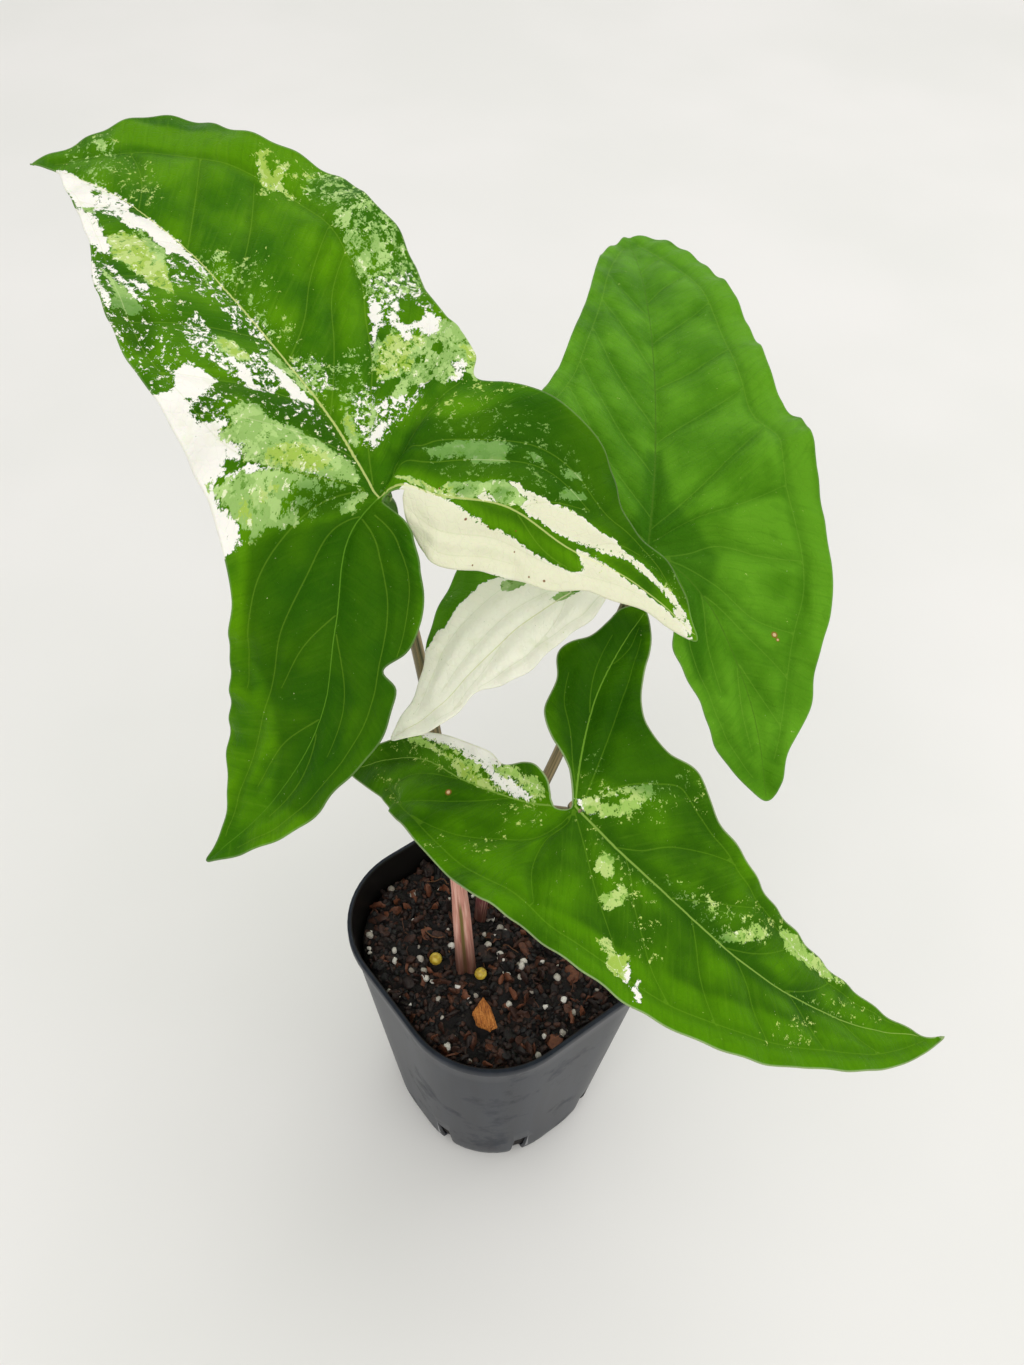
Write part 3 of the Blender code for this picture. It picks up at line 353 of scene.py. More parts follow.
        (0.6, [(-7, 66), (-1, 62), (0, 56), (0, 49), (-4, 50), (-6, 56), (-9, 60)]),
        (0.45, [(-27, 57), (-18, 54), (-19, 45), (-26, 38), (-30, 40), (-29, 52)]),
        (0.35, [(-18, 59), (-9, 55), (-17, 44), (-20, 49)]),
        (0.7, [(1, 34), (5, 31), (4, 26), (1, 25), (0, 30)]),
        (0.55, [(-6, 26), (-2, 24), (-2, 17), (-5, 20), (-9, 26)]),
        (0.75, [(9, 21), (18, 20), (22, 13), (17, 12), (11, 12), (5, 10), (3, 12)]),
        (0.6, [(-21, 70), (-24, 61), (-21, 59), (-17, 58), (-15, 60), (-15, 67), (-16, 74), (-16, 78)]),
        (0.6, [(31, 30), (31, 24), (26, 24), (26, 28)]),
        (0.9, [(-10, 51), (-10.5, 45), (-10, 41.5), (-8, 37.5), (-1.5, 38.5), (-7.5, 29), (-11.5, 32.5),
        (-14, 38), (-16, 44), (-14.5, 49)]),
        (0.75, [(-4, 52.5), (0, 49.5), (0.5, 40), (-2, 39.5), (-2.5, 43.5), (-5, 46.5)]),
        (0.8, [(5, 20.5), (10.5, 20.5), (7.5, 14.5), (4, 12), (4, 16.5)]),
        (0.85, [(26.5, 39.5), (31.5, 37), (35, 36), (31.5, 30.5), (24.5, 29.5), (19.5, 30)]),
        (0.5, [(-26.5, 58.5), (-23.5, 57.5), (-29.5, 42), (-28.5, 47), (-28, 54.5)]),
        (0.38, [(-17, 35.5), (-12.5, 31), (-6, 25), (-2, 22), (-1, 16), (-0.5, 8), (-2.5, 8.5),
        (-3.5, 15.5), (-8.5, 21.5), (-13, 28), (-17.5, 32.5)]),
        (0.7, [(-27, 33), (-23, 35), (-19, 35), (-18, 31), (-21, 28), (-26, 29)]),
    ],
    "pale_flecks": [
        (0.85, [(34, 67), (38, 63), (36, 52), (37, 45), (37, 38), (33, 32), (28, 34), (23, 37), (25, 41),
        (26, 49), (29, 59), (29, 65)]),
        (0.47, [(28, 75), (34, 70), (26, 63), (21, 68)]),
        (0.57, [(5, 107), (10, 105), (15, 102), (11, 97), (-1, 91), (1, 99)]),
        (0.42, [(10, 98), (12, 90), (5, 80), (1, 80), (1, 91)]),
        (0.62, [(1, 65), (5, 61), (5, 58), (1, 54), (0, 58)]),
        (0.52, [(5, 58), (12, 57), (8, 49), (4, 45), (1, 47), (1, 52)]),
        (0.47, [(4, 48), (6, 41), (5, 36), (1, 35), (1, 41)]),
        (0.67, [(5, 28), (12, 29), (14, 28), (9, 20), (3, 12), (2, 15), (3, 22)]),
        (0.57, [(31, 30), (36, 37), (33, 31)]),
        (0.38, [(18, 10), (27, 5), (33, -3), (35, -10), (38, -16), (39, -25), (27, -21), (26, -12),
        (27, -9), (18, 0)]),
        (0.38, [(28, 9), (34, 5), (37, 0), (35, 0), (28, 6)]),
        (0.38, [(14, -4), (23, -12), (28, -18), (12, -7)]),
        (0.38, [(45, -33), (49, -39), (52, -46), (51, -48), (47, -42)]),
        (0.62, [(-16, 10), (-13, 10), (-7, 7), (-9, 2), (-16, 6)]),
        (0.85, [(1.5, 33.5), (4, 32), (4.5, 28.5), (2.5, 26), (-0.5, 26), (0, 30)]),
        (0.5, [(5.5, 29), (13, 27.5), (10, 22.5), (1, 22.5), (1, 25.5)]),
        (0.6, [(1.5, 52), (7, 48), (0, 38), (1, 44.5)]),
    ],
    "green_flecks": [
        (0.55, [(18, 31), (24, 28), (28, 20), (35, 16), (33, 9), (24, 12), (17, 18), (12, 22)]),
        (0.35, [(-17, 75), (-13, 69), (-15, 60), (-17, 64)]),
        (0.5, [(1, 98), (-2, 89), (-1, 83), (-5, 82), (-6, 87)]),
        (0.3, [(-23, 25), (-4, 14), (-4, 5), (-18, 17), (-25, 19), (-24, 14), (-16, 10), (-22, 17)]),
        (0.5, [(11, -9), (17, -14), (26, -21), (22, -21), (12, -13)]),
        (0.45, [(36, -32), (42, -35), (43, -37), (38, -36)]),
        (0.5, [(50, -46), (52, -48), (52, -51), (50, -49)]),
        (0.8, [(-24.5, 34.5), (-21.5, 34), (-19.5, 31), (-21, 29), (-25.5, 30)]),
        (0.6, [(15, 26.5), (22, 27), (27, 22), (27.5, 16), (21.5, 14.5), (15.5, 16), (12.5, 21.5)]),
        (0.6, [(-8.5, 89), (-5, 84), (-7.5, 78), (-11, 79.5), (-10, 84)]),
        (1, [(-8.5, 86), (-5.5, 86), (-5.5, 83), (-6, 80.5), (-9, 78), (-11, 79.5), (-9.5, 82)]),
    ],
}
RIGHT_MARKS = {
    # white that lies in shade, painted cream: partly cream tissue and partly painted shade
    "cream_and_shade": [
        [(0, 0), (-6, -8), (-15, -14), (-28, -10), (-33, -10), (-36, -11), (-41, -16), (-43, -20),
        (-45, -21), (-47, -24), (-52, -29), (-57, -47), (-52, -49), (-44, -46), (-36, -38), (-24, -36),
        (-9, -24), (-2, -15)],
    ],
    "strip": [
        [(-32, -11), (-29, -10), (-26, -12), (-29, -14), (-32, -13)],
        [(-21, -16), (-18, -13), (-15, -14), (-18, -16)],
    ],
    "lime": [
        [(2, 114), (14, 100), (23, 74), (27, 48), (39, 25), (39, -1), (37, -17), (34, -18), (32, -3),
        (33, 13), (23, 32), (21, 47), (16, 70), (11, 92), (2, 107)],
        [(21, 9), (35, 9), (34, -6), (19, -6)],
    ],
    # partly deeper green and partly painted shade
    "deep_and_shade": [
        [(-2, 26), (-3, 8), (-6, 2), (-2, -3), (2, -18), (8, -30), (12, -34), (9, -16), (14, -6), (12, 4),
        (4, 12), (1, 26)],
    ],
}
FRONT_MARKS = {
    "white": [
        [(6.5, -44.5), (3.5, -43), (2, -39.5), (-0.5, -34.5), (-2.5, -29), (-2.5, -24.5), (-1.5, -20.5),
        (0.2, -20.5), (0.4, -16), (0.7, -13), (1.5, -10), (2.2, -10), (2.8, -12.5), (3.6, -16),
        (3.8, -19.5), (3.2, -22), (2.8, -25), (3, -28), (3.5, -30.5), (4, -34.5), (5.5, -37.5),
        (6.5, -40.5)],
        [(-1.5, -1.5), (-2, 2.5), (-1.5, 4), (-0.5, 2)],
        [(18, 28), (17, 29), (20, 31), (20, 29)],
        [(20, 32), (18, 32), (21, 34), (22, 33)],
    ],
    "pale": [
        [(8.5, -47), (7, -45), (6.5, -43), (6.5, -40.5), (5.5, -37.5), (4, -34.5), (3.5, -30.5), (3, -28),
        (2.8, -25), (3.2, -22), (3.8, -19.5), (3.6, -16), (2.8, -12.5), (2.2, -9.5), (3, -13), (4.5, -17.5),
        (6, -21.5), (6.5, -24), (7, -27), (7.5, -28.5), (7.5, -30.5), (6.5, -32.5), (7, -35), (8, -37.5),
        (8, -39.5), (8.5, -42)],
        [(0.5, -22.5), (0, -20), (-1.5, -19), (-2, -17), (-1.5, -15), (-2.5, -11.5), (-2, -9.5),
        (0.3, -7.5), (1.5, -9.5), (0.7, -13), (0.4, -16), (1.2, -19), (1.2, -21.5)],
        [(-1.5, 0.5), (-4, 2), (-8.5, 5.5), (-12.5, 8.5), (-15, 10.5), (-12, 11), (-9, 10.5), (-5, 8),
        (-2.5, 6), (-1.5, 3.5), (-0.5, 2)],
        [(2.5, 11.5), (2, 13), (4, 15.5), (6.5, 16), (7, 12.5), (5.5, 11.5)],
        [(10, 17), (7.5, 18.5), (5, 17.5), (5.5, 20), (8, 21), (12, 19.5), (11.5, 18)],
        [(18, 22), (16, 23), (17, 26), (16, 28), (20, 30), (21, 27), (19, 25)],
        [(-12, 52), (-12, 58), (-11, 65), (-8, 78), (-8, 56)],
        [(-2, 40), (-9, 47), (-8, 50), (-4, 46), (-1, 42)],
    ],
    "green": [
        [(6.5, -40.5), (6, -38), (5, -35), (4, -32.5), (3, -29.5), (4, -29.5), (6, -34.5), (7, -38.5)],
        [(3, -26), (3, -21.5), (3.5, -19.5), (4, -21), (4, -25)],
        [(-4.5, 3), (-8, 6), (-10, 8), (-7.5, 7.5), (-5, 5.5), (-4, 4)],
    ],
    "lime": [
        [(7.5, -38.5), (7, -35.5), (6, -33.5), (7.5, -35), (8, -37.5)],
        [(0.5, -10.5), (1.5, -6), (2, -9)],
        [(7.5, -40), (6.5, -33.5), (7.5, -29), (6.5, -25), (5.5, -20.5), (4, -16), (3.2, -13), (3.6, -20),
        (4, -26), (4.5, -31), (5.5, -34.5), (6.5, -38.5)],
        [(29, -1), (24, 4), (24, 32), (18, 56), (7, 88), (1, 100), (3, 78), (7, 54), (15, 30), (19, 13),
        (27, -1)],
        [(-8, 78), (-3, 90), (0, 103), (5, 92), (9, 78), (0, 72)],
    ],
    # partly deeper green and partly painted shade
    "deep_and_shade": [
        [(-8, -3), (-12, -10), (-24, -20), (-40, -21), (-47, -18), (-40, -8), (-30, 0), (-24, 10),
        (-20, 18), (-12, 12), (-8, 2)],
        [(-1.5, 8), (-3, 30), (-2, 60), (0, 80), (2, 60), (2.5, 30), (1.5, 8)],
    ],
    "pale_flecks": [
        (0.6, [(-2, 24), (-5, 29), (-7, 39), (-10, 50), (-7, 50), (0, 41), (-1, 32)]),
        (0.4, [(0, 57), (-5, 77), (-2, 85), (0, 71)]),
        (0.4, [(11, 55), (0, 68), (9, 66), (13, 57)]),
        (0.35, [(-10, -3), (-14, -1), (-9, 4), (-4, 1)]),
        (0.45, [(-5, 1), (-15, 11), (-16, 16), (-10, 15), (-2, 6)]),
        (0.35, [(5, 18), (0, 22), (12, 33), (15, 30)]),
        (0.3, [(0, 4), (0, 13), (4, 25), (8, 12)]),
        (0.4, [(-12, 39), (-13, 52), (-10, 50), (-10, 41)]),
        (0.45, [(-20, 13), (-22, 18), (-18, 21), (-17, 18)]),
        (0.4, [(6, -16), (2, -6), (7, -4), (9, -12)]),
        (0.4, [(16, -15), (12, -10), (16, -8), (19, -13)]),
        (0.35, [(16, -52), (20, -38), (22, -36), (23, -44)]),
        (0.4, [(10, -52), (9, -36), (7, -28), (12, -39)]),
        (0.3, [(23, -22), (19, -19), (23, -15), (26, -18)]),
    ],
    "green_flecks": [
        (0.45, [(8, -45), (3, -33), (0, -20), (-1, -7), (2, -8), (5, -23), (9, -36)]),
        (0.45, [(-3, 2), (-12, 9), (-14, 11), (-5, 8), (-3, 5)]),
        (0.5, [(-2, 40), (-9, 47), (-8, 50), (-3, 45)]),
    ],
}

# Each blade is drawn flat, in mm, with the stalk joint at 0, 0 and the front lobe along +Y, then bent.
LEAVES = {
    "leaf_left": {
        "joint": (-6.4, 37.4, 200),
        "front": lobe(90, [(1, 16, 7), (-2, 37, 18), (-5, 59, 26), (-11, 83, 31), (-20, 103, 31)],
                      (12, 0), (14, 10), 0.25),
        "left": lobe(205, [(-5, 0, -3), (-19, -12, -16), (-28, -19, -30), (-42, -22, -43), (-58, -21, -52)],
                     (5, 5), (5, 5), 0.16, 0.3),
        "right": lobe(-45, [(3, -2, 3), (8, -9, 3), (20, -16, -1), (26, -28, -6), (35, -39, -12),
                            (41, -53, -20)], (35, 20), (-50, -30), 0.34, -0.3),
        "web": 0.6,
        "sinus": 271.4,
        "quilt": 0.85,
        "rib_tones": (0.9, 0.10, 0.75),
        "outline": [
            (0, 112), (0, 105), (-5, 98), (-12, 86), (-16, 78), (-22, 69), (-26, 59), (-28, 51), (-29, 43),
            (-30, 34), (-29, 25), (-28, 18), (-29, 12), (-33, 7), (-41, 4), (-49, 0), (-57, -5), (-63, -9),
            (-68, -15), (-70, -23), (-73, -31), (-77, -36), (-70, -37), (-63, -37), (-57, -37), (-51, -36),
            (-46, -34), (-38, -33), (-32, -31), (-28, -29), (-27, -25), (-22, -27), (-17, -26.7),
            (-11, -24.3), (-7.4, -22.5), (-5, -20.4), (-2.7, -17.3), (-1, -13.4), (0, -9.4), (0, -5.3),
            (-0.1, -2.6), (0.4, -1.6), (1.5, -2.4), (3, -4.2), (4, -5.5), (2.9, -6.5), (1.2, -10.5),
            (0.6, -14.6), (0.7, -17.2), (2, -20.7), (5.6, -26.3), (10, -30), (15, -33), (20, -35),
            (25, -38), (31, -40), (36, -44), (42, -47), (47, -51), (53, -54), (52, -48), (51, -43),
            (49, -38), (45, -32), (44, -24), (44, -17), (42, -11), (39, -5), (37, 1), (33, 6), (31, 9),
            (34, 13), (34, 18), (32, 23), (33, 30), (37, 37), (38, 44), (36, 52), (38, 62), (35, 70),
            (31, 76), (29, 83), (29, 90), (25, 97), (17, 103), (8, 107)],
        "veins": [
            [(0, 2), (4, 12), (9, 19), (13, 24), (19, 33), (24, 40), (25, 47), (26, 56), (26, 64),
            (22, 75), (19, 82), (15, 91), (8, 100), (2, 107)], [(0, 82), (7, 88), (12, 95)], [(0, 67),
            (8, 74), (18, 82)], [(0, 52), (11, 61), (22, 71)], [(0, 34), (9, 40), (15, 46), (25, 53)],
            [(0, 20), (10, 32), (18, 42), (25, 47)], [(-2, 3), (-6, 6), (-12, 11), (-18, 17), (-24, 28),
            (-25, 40), (-24, 50), (-21, 61), (-15, 75), (-8, 90), (-2, 103)], [(0, 82), (-5, 88),
            (-7, 92)], [(0, 68), (-6, 75), (-13, 80)], [(0, 55), (-7, 61), (-18, 68)], [(0, 40), (-7, 46),
            (-14, 51), (-23, 55)], [(0, 23), (-4, 26), (-9, 31), (-16, 36), (-25, 43)], [(0, 10), (-8, 19),
            (-16, 26), (-24, 31)], [(-2, 2), (-8, 4), (-16, 5), (-27, 5), (-38, 1), (-50, -5)], [(-5, -2),
            (-9, -1), (-19, -2), (-30, -3), (-42, -7), (-55, -13), (-66, -22), (-72, -32)], [(-5, -3),
            (-7, -10), (-14, -17), (-23, -22), (-35, -27), (-48, -31), (-60, -34), (-70, -35)], [(-3, -4),
            (-4, -12), (-8, -19), (-16, -23), (-24, -26)], [(-23, -11), (-32, -9), (-44, -10)],
            [(-27, -13), (-36, -21), (-46, -27)], [(-43, -20), (-53, -19), (-63, -24)], [(-45, -21),
            (-54, -28), (-62, -31)], [(1, 1), (4, 1), (8, 4), (13, 6), (17, 7), (23, 8), (28, 9)], [(4, 1),
            (7, 4), (10, 3), (13, 0), (17, -1), (22, -4), (26, -7), (31, -11), (36, -17), (40, -25),
            (45, -35), (50, -46)], [(3, 0), (6, 0), (11, -3), (17, -6), (24, -11), (30, -15), (37, -24)],
            [(2, -3), (3, -10), (8, -18), (14, -24), (22, -30), (32, -37), (42, -44)], [(1, -4),
            (1.5, -12), (5, -21), (11, -27), (18, -31)], [(21, -21), (29, -21), (37, -24)], [(32, -32),
            (39, -32), (44, -36)], [(21, -21), (24, -28), (29, -34)]],
        "marks": LEFT_MARKS,
    },
    "leaf_right": {
        "joint": (47.8, 13.8, 175),
        "front": lobe(90, [(5, 5, 3), (23, 25, 9), (42, 49, 13), (52, 63, 14), (68, 88, 11)],
                      (14, 10), (12, 5), 0.22),
        "left": lobe(220, [(-23, 1, -2), (-33, 2, -5), (-47, 2, -12), (-56, 1, -16), (-67, 3, -21)],
                     (0, 0), (0, 0), 0.24),
        "right": lobe(-55, [(3, -5, -2), (6, -13, -7), (5, -25, -14), (3, -36, -23), (-5, -51, -34)],
                      (15, 10), (0, 0), 0.20),
        "web": 0.75,
        "sinus": 262.5,
        "quilt": 1.05,
        "rib_tones": (0.10, 0.5, 0.10),
        "outline": [
            (0, 113), (-4, 108), (-10, 98), (-15, 79), (-19, 64), (-23, 50), (-27, 38), (-31, 27),
            (-33, 17), (-34, 8), (-37, 2), (-42, -6), (-45, -15), (-48, -25), (-51, -34), (-55, -46),
            (-49, -45), (-43, -42), (-37, -37), (-30, -36), (-23, -33), (-17, -27), (-11, -21), (-8, -14),
            (-8, -9), (-7, -5), (-1.2, -1.2), (1.2, -1.2), (1.4, -6), (1, -12), (1.2, -18), (2, -26),
            (6, -32), (13, -39), (21, -48), (30, -52), (37, -53), (38, -48), (36, -41), (37, -31),
            (36, -23), (37, -13), (38, -5), (39, 4), (40, 14), (39, 23), (36, 33), (31, 38), (27, 48),
            (25, 60), (22, 74), (19, 86), (14, 99), (7, 111)],
        "veins": [
            [(2, 109), (7, 98), (11, 90), (16, 70), (18, 58), (20, 47), (23, 36), (30, 27), (33, 14),
            (33, 1), (32, -7), (30, -18), (31, -30), (34, -44)], [(0, 92), (4, 97), (7, 100)], [(0, 78),
            (5, 84), (11, 89)], [(0, 62), (7, 68), (15, 75)], [(0, 46), (9, 51), (18, 58)], [(0, 29),
            (9, 36), (20, 44)], [(0, 5), (10, 15), (20, 26), (26, 32)], [(1, 2), (11, 6), (23, 8),
            (33, 12)], [(2, -3), (8, -4), (15, -3), (23, -4), (32, -3)], [(3, -4), (12, -11), (21, -17),
            (30, -18)], [(-2, 107), (-8, 92), (-12, 76), (-16, 60), (-20, 46), (-26, 30), (-30, 15),
            (-32, 4)], [(0, 72), (-5, 80), (-9, 88)], [(0, 52), (-6, 64), (-12, 77)], [(0, 33), (-9, 48),
            (-15, 64)], [(0, 19), (-9, 31), (-18, 50)], [(0, 8), (-9, 18), (-21, 41)], [(-1, 2), (-12, 10),
            (-26, 29)], [(-2, 0), (-14, 3), (-30, 12)], [(-4, -1), (-16, -4), (-28, -10), (-38, -18),
            (-46, -29), (-51, -40)], [(-10, -8), (-22, -14), (-34, -23), (-45, -35)], [(-7, -8),
            (-12, -18), (-24, -29), (-36, -36), (-46, -42)], [(-17, -14), (-19, -22), (-25, -30)],
            [(-30, -25), (-35, -32), (-42, -39)], [(9, -13), (20, -21), (30, -27)], [(18, -26), (26, -33),
            (32, -37)], [(3, -4), (5, -14), (7, -26), (14, -36), (24, -46), (32, -50)], [(9, -13),
            (11, -24), (17, -35)], [(19, -27), (23, -37), (29, -45)]],
        "marks": RIGHT_MARKS,
    },
    "leaf_front": {
        "joint": (2.5, -19.0, 152),
        "front": lobe(90, [(2, -15, -3), (5, -27, -7), (10, -41, -14), (28, -62, -31), (47, -74, -41)],
                      (10, 5), (-5, -5), 0.28),
        "left": lobe(200, [(9, 9, 2), (19, 17, 5), (36, 25, 10), (42, 27, 11)],
                     (10, 10), (5, 5), 0.24),
        "right": lobe(-75, [(-3, 4, -2), (-11, 23, -8), (-14, 38, -13), (-25, 50, -22)],
                      (-10, -10), (40, 35), 0.22),
        "web": 0.75,
        "sinus": 242.5,
        "quilt": 0.95,
        "rib_tones": (0.35, 0.20, 0.30),
        "outline": [
            (0, 102), (0, 97), (-3, 88), (-8, 77), (-11, 66), (-14, 53), (-17, 38), (-19, 25), (-23, 17),
            (-22, 10), (-25, 4), (-32, -2), (-41, -8), (-45, -12), (-48, -18), (-44, -21), (-39, -20),
            (-34, -20), (-27, -22), (-22, -18), (-15, -16), (-11, -11), (-8, -6), (-6, -4), (-1.2, -1.2),
            (1.2, -1.2), (1.2, -5), (-3, -8), (-5, -12), (-4, -16), (-1, -20), (-1, -26), (1, -33),
            (5, -42), (9, -50), (12, -56), (16, -60), (20, -54), (23, -46), (25, -36), (24, -25),
            (25, -16), (27, -6), (28, 3), (27, 12), (26, 20), (24, 31), (22, 37), (20, 46), (17, 57),
            (13, 67), (10, 79), (6, 91)],
        "veins": [
            [(20, -46), (22, -36), (21, -25), (22, -12), (23, 0), (23, 10), (21, 22), (18, 36), (15, 46),
            (12, 57), (8, 70), (5, 84), (1, 96)], [(1, 1), (5, 8), (9, 14), (13, 20), (17, 26), (20, 31)],
            [(0, 15), (3, 19), (6, 22), (10, 27), (14, 32), (17, 38)], [(0, 33), (4, 37), (9, 41),
            (15, 47)], [(0, 45), (4, 50), (8, 53), (12, 57)], [(0, 60), (4, 65), (8, 70)], [(0, 74),
            (3, 79), (5, 84)], [(1, 0), (3, 1), (10, -1), (16, 1), (22, 7)], [(0, 1), (-5, 3), (-10, 6),
            (-15, 11), (-18, 15), (-17, 21), (-15, 33), (-13, 45), (-10, 58), (-7, 71), (-3, 85), (0, 96)],
            [(0, 12), (-3, 16), (-8, 20), (-12, 26), (-15, 34)], [(0, 27), (-5, 34), (-9, 40), (-13, 46)],
            [(0, 42), (-4, 50), (-10, 58)], [(0, 58), (-3, 65), (-7, 71)], [(-3, -1), (-9, -5), (-15, -9),
            (-20, -14), (-25, -17)], [(-2, 1), (-11, 0), (-21, -2), (-32, -6), (-42, -12)], [(-20, -7),
            (-29, -13), (-38, -17)], [(-32, -12), (-38, -12), (-44, -15)], [(3, 0), (9, -3), (13, -10),
            (17, -17), (21, -28)], [(4, -15), (12, -24), (21, -34)], [(8, -29), (14, -38), (20, -45)],
            [(0, -4), (-1, -11), (1, -20), (3, -32), (8, -45)]],
        "marks": FRONT_MARKS,
    },
}

# Stalks, as in the CAD: points in mm to a little short of the blade, radius in mm at the foot and the top,
# and the side that the sheath's groove faces.
STALKS = {
    "stalk_left": {"path": [(-13.5, -4.4, 64), (-11.2, 0.8, 80), (-8.8, 6.4, 97), (-2.4, 25, 135),
                            (-2.8, 31.5, 162), (-5.0, 35.0, 184)],
                   "leaf": "leaf_left", "foot": 2.45, "top": 1.35, "groove": (-0.63, -0.78, 0)},
    "stalk_right": {"path": [(8.6, 11.2, 64), (9.6, 11.0, 80), (13, 10, 100), (22, 9, 125), (35, 11.2, 150),
                             (44.5, 13.2, 166)],
                    "leaf": "leaf_right", "foot": 1.8, "top": 1.3, "groove": (0.0, -1.0, 0)},
    "stalk_front": {"path": [(-0.2, 9.4, 64), (0.2, 8.4, 84), (1.0, 3.2, 110), (0.9, -5.6, 132),
                             (1.2, -13.0, 144)],
                    "leaf": "leaf_front", "foot": 1.7, "top": 1.3, "groove": (1.0, 0.0, 0)},
}
SHEATH_TOP = 100.0           # mm above the floor, where the groove has run out
STALK_SIDES = 40
STALK_STEP = 0.9             # mm, between the rings
PATH_POINTS = 400            # points that a stalk's path is read from
SHEATH_FADE = 12             # mm, over which the groove runs out
GROOVE = (0.46, 0.34)        # depth as a share of the radius, and half width in radians
LIP = (0.07, 0.75, 0.22)     # height as a share of the radius, place beside the groove and half width
SWELLING = (0.16, 5, 3.5)    # height as a share of the radius, mm from the stalk's end and half width
COLLAR = (0.25, 1.6)         # the same at the end itself
END_BELOW = 0.9              # mm under the joint, inside the blade, where a stalk ends
BEND_BELOW = 3.1             # mm under the joint, and 0.6 of the radius more, of a stalk's last bend


def srgb(hex_colour):
    """Linear colour of a hex value."""
    values = [int(hex_colour[k:k + 2], 16) / 255 for k in (0, 2, 4)]
    return [v / 12.92 if v <= 0.04045 else ((v + 0.055) / 1.055) ** 2.4 for v in values] + [1.0]


def feed(tree, node, inputs):
    """Gives a node's inputs their values or links."""
    for key, value in inputs.items():
        if isinstance(value, bpy.types.NodeSocket):
            tree.links.new(value, node.inputs[key])
        else:
            node.inputs[key].default_value = value


def add(tree, kind, links=None, out=0, **settings):
    """Adds a node with its settings, input values and links. Returns one of its outputs, or the node."""
    made = tree.nodes.new(kind)
    for name, value in settings.items():
        setattr(made, name, value)
    feed(tree, made, links or {})
    return made if out is None else made.outputs[out]


def set_stops(ramp, stops):
    """Gives a colour ramp its stops, each a place from 0 to 1 and a hex colour."""
    elements = ramp.color_ramp.elements
    for k, (place, colour) in enumerate(stops):
        stop = elements[0] if k == 0 else elements[-1] if k == len(stops) - 1 else elements.new(place)
        stop.position = place
        stop.color = srgb(colour)


def store(mesh, name, values):
    """Adds an attribute with three numbers for each point of the mesh."""
    layer = mesh.attributes.new(name, "FLOAT_VECTOR", "POINT")
    layer.data.foreach_set("vector", np.asarray(values, np.float32).ravel())


def new_material(name):
    made = bpy.data.materials.new(name)
    made.use_nodes = True
    return made, made.node_tree, made.node_tree.nodes["Principled BSDF"]


def new_object(name, mesh, materials):
    thing = bpy.data.objects.new(name, mesh)
    for finish in materials:
        mesh.materials.append(finish)
    bpy.context.scene.collection.objects.link(thing)
    return thing


def mesh_of(bm, name):
    """Turns a bmesh into a mesh and frees it."""
    mesh = bpy.data.meshes.new(name)
    bm.to_mesh(mesh)
    bm.free()
    return mesh


def settle(thing):
    """Works the object's modifiers into a plain mesh."""
    bpy.context.view_layer.update()
    graph = bpy.context.evaluated_depsgraph_get()
    mesh = bpy.data.meshes.new_from_object(thing.evaluated_get(graph), preserve_all_data_layers=True,
                                           depsgraph=graph)
    thing.modifiers.clear()
    thing.data = mesh


def smooth_shading(mesh, angle=None):
    mesh.polygons.foreach_set("use_smooth", [True] * len(mesh.polygons))
    if angle is not None:
        mesh.set_sharp_from_angle(angle=math.radians(angle))


def ride(piece, slot, *nodes):
    """Attaches a finished piece to the root body and hides the CAD nodes it stands for. Slot is not used."""
    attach(piece, "root")
    if nodes:
        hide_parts(*nodes)


# Shape of the blades


def smooth_path(points, count):
    """Evenly spaced points on a smooth curve through the given ones, and the curve's length."""
    points = np.asarray(points, float)
    reach = np.concatenate([[0], np.cumsum(np.linalg.norm(np.diff(points, axis=0), axis=1))])
    step = np.diff(reach)[:, None]
    run = np.diff(points, axis=0) / step
    slope = np.empty_like(points)
    slope[1:-1] = (run[:-1] * step[1:] + run[1:] * step[:-1]) / (step[1:] + step[:-1])
    slope[0] = 1.5 * run[0] - 0.5 * slope[1] if len(points) > 2 else run[0]
    slope[-1] = 1.5 * run[-1] - 0.5 * slope[-2] if len(points) > 2 else run[0]
    at = np.linspace(0, reach[-1], count * 4)
    k = np.clip(np.searchsorted(reach, at, "right") - 1, 0, len(points) - 2)
    h = step[k]
    t = (at - reach[k])[:, None] / h
    dense = ((2 * t**3 - 3 * t**2 + 1) * points[k] + (t**3 - 2 * t**2 + t) * h * slope[k]
             + (-2 * t**3 + 3 * t**2) * points[k + 1] + (t**3 - t**2) * h * slope[k + 1])
    length = np.concatenate([[0], np.cumsum(np.linalg.norm(np.diff(dense, axis=0), axis=1))])
    even = np.linspace(0, length[-1], count)
    return np.stack([np.interp(even, length, column) for column in dense.T], 1), length[-1]


def ease(x):
    x = np.clip(x, 0, 1)
    return x * x * x * (x * (6 * x - 15) + 10)


def rib_of(part):
    return smooth_path([(0, 0, 0)] + part["rib"], RIB_POINTS)


def along_and_aside(part, flat):
    """Distance of flat points along a lobe's rib, and to its left."""
    heading = np.array([math.cos(part["angle"]), math.sin(part["angle"])])
    return flat @ heading, flat @ np.array([-heading[1], heading[0]])


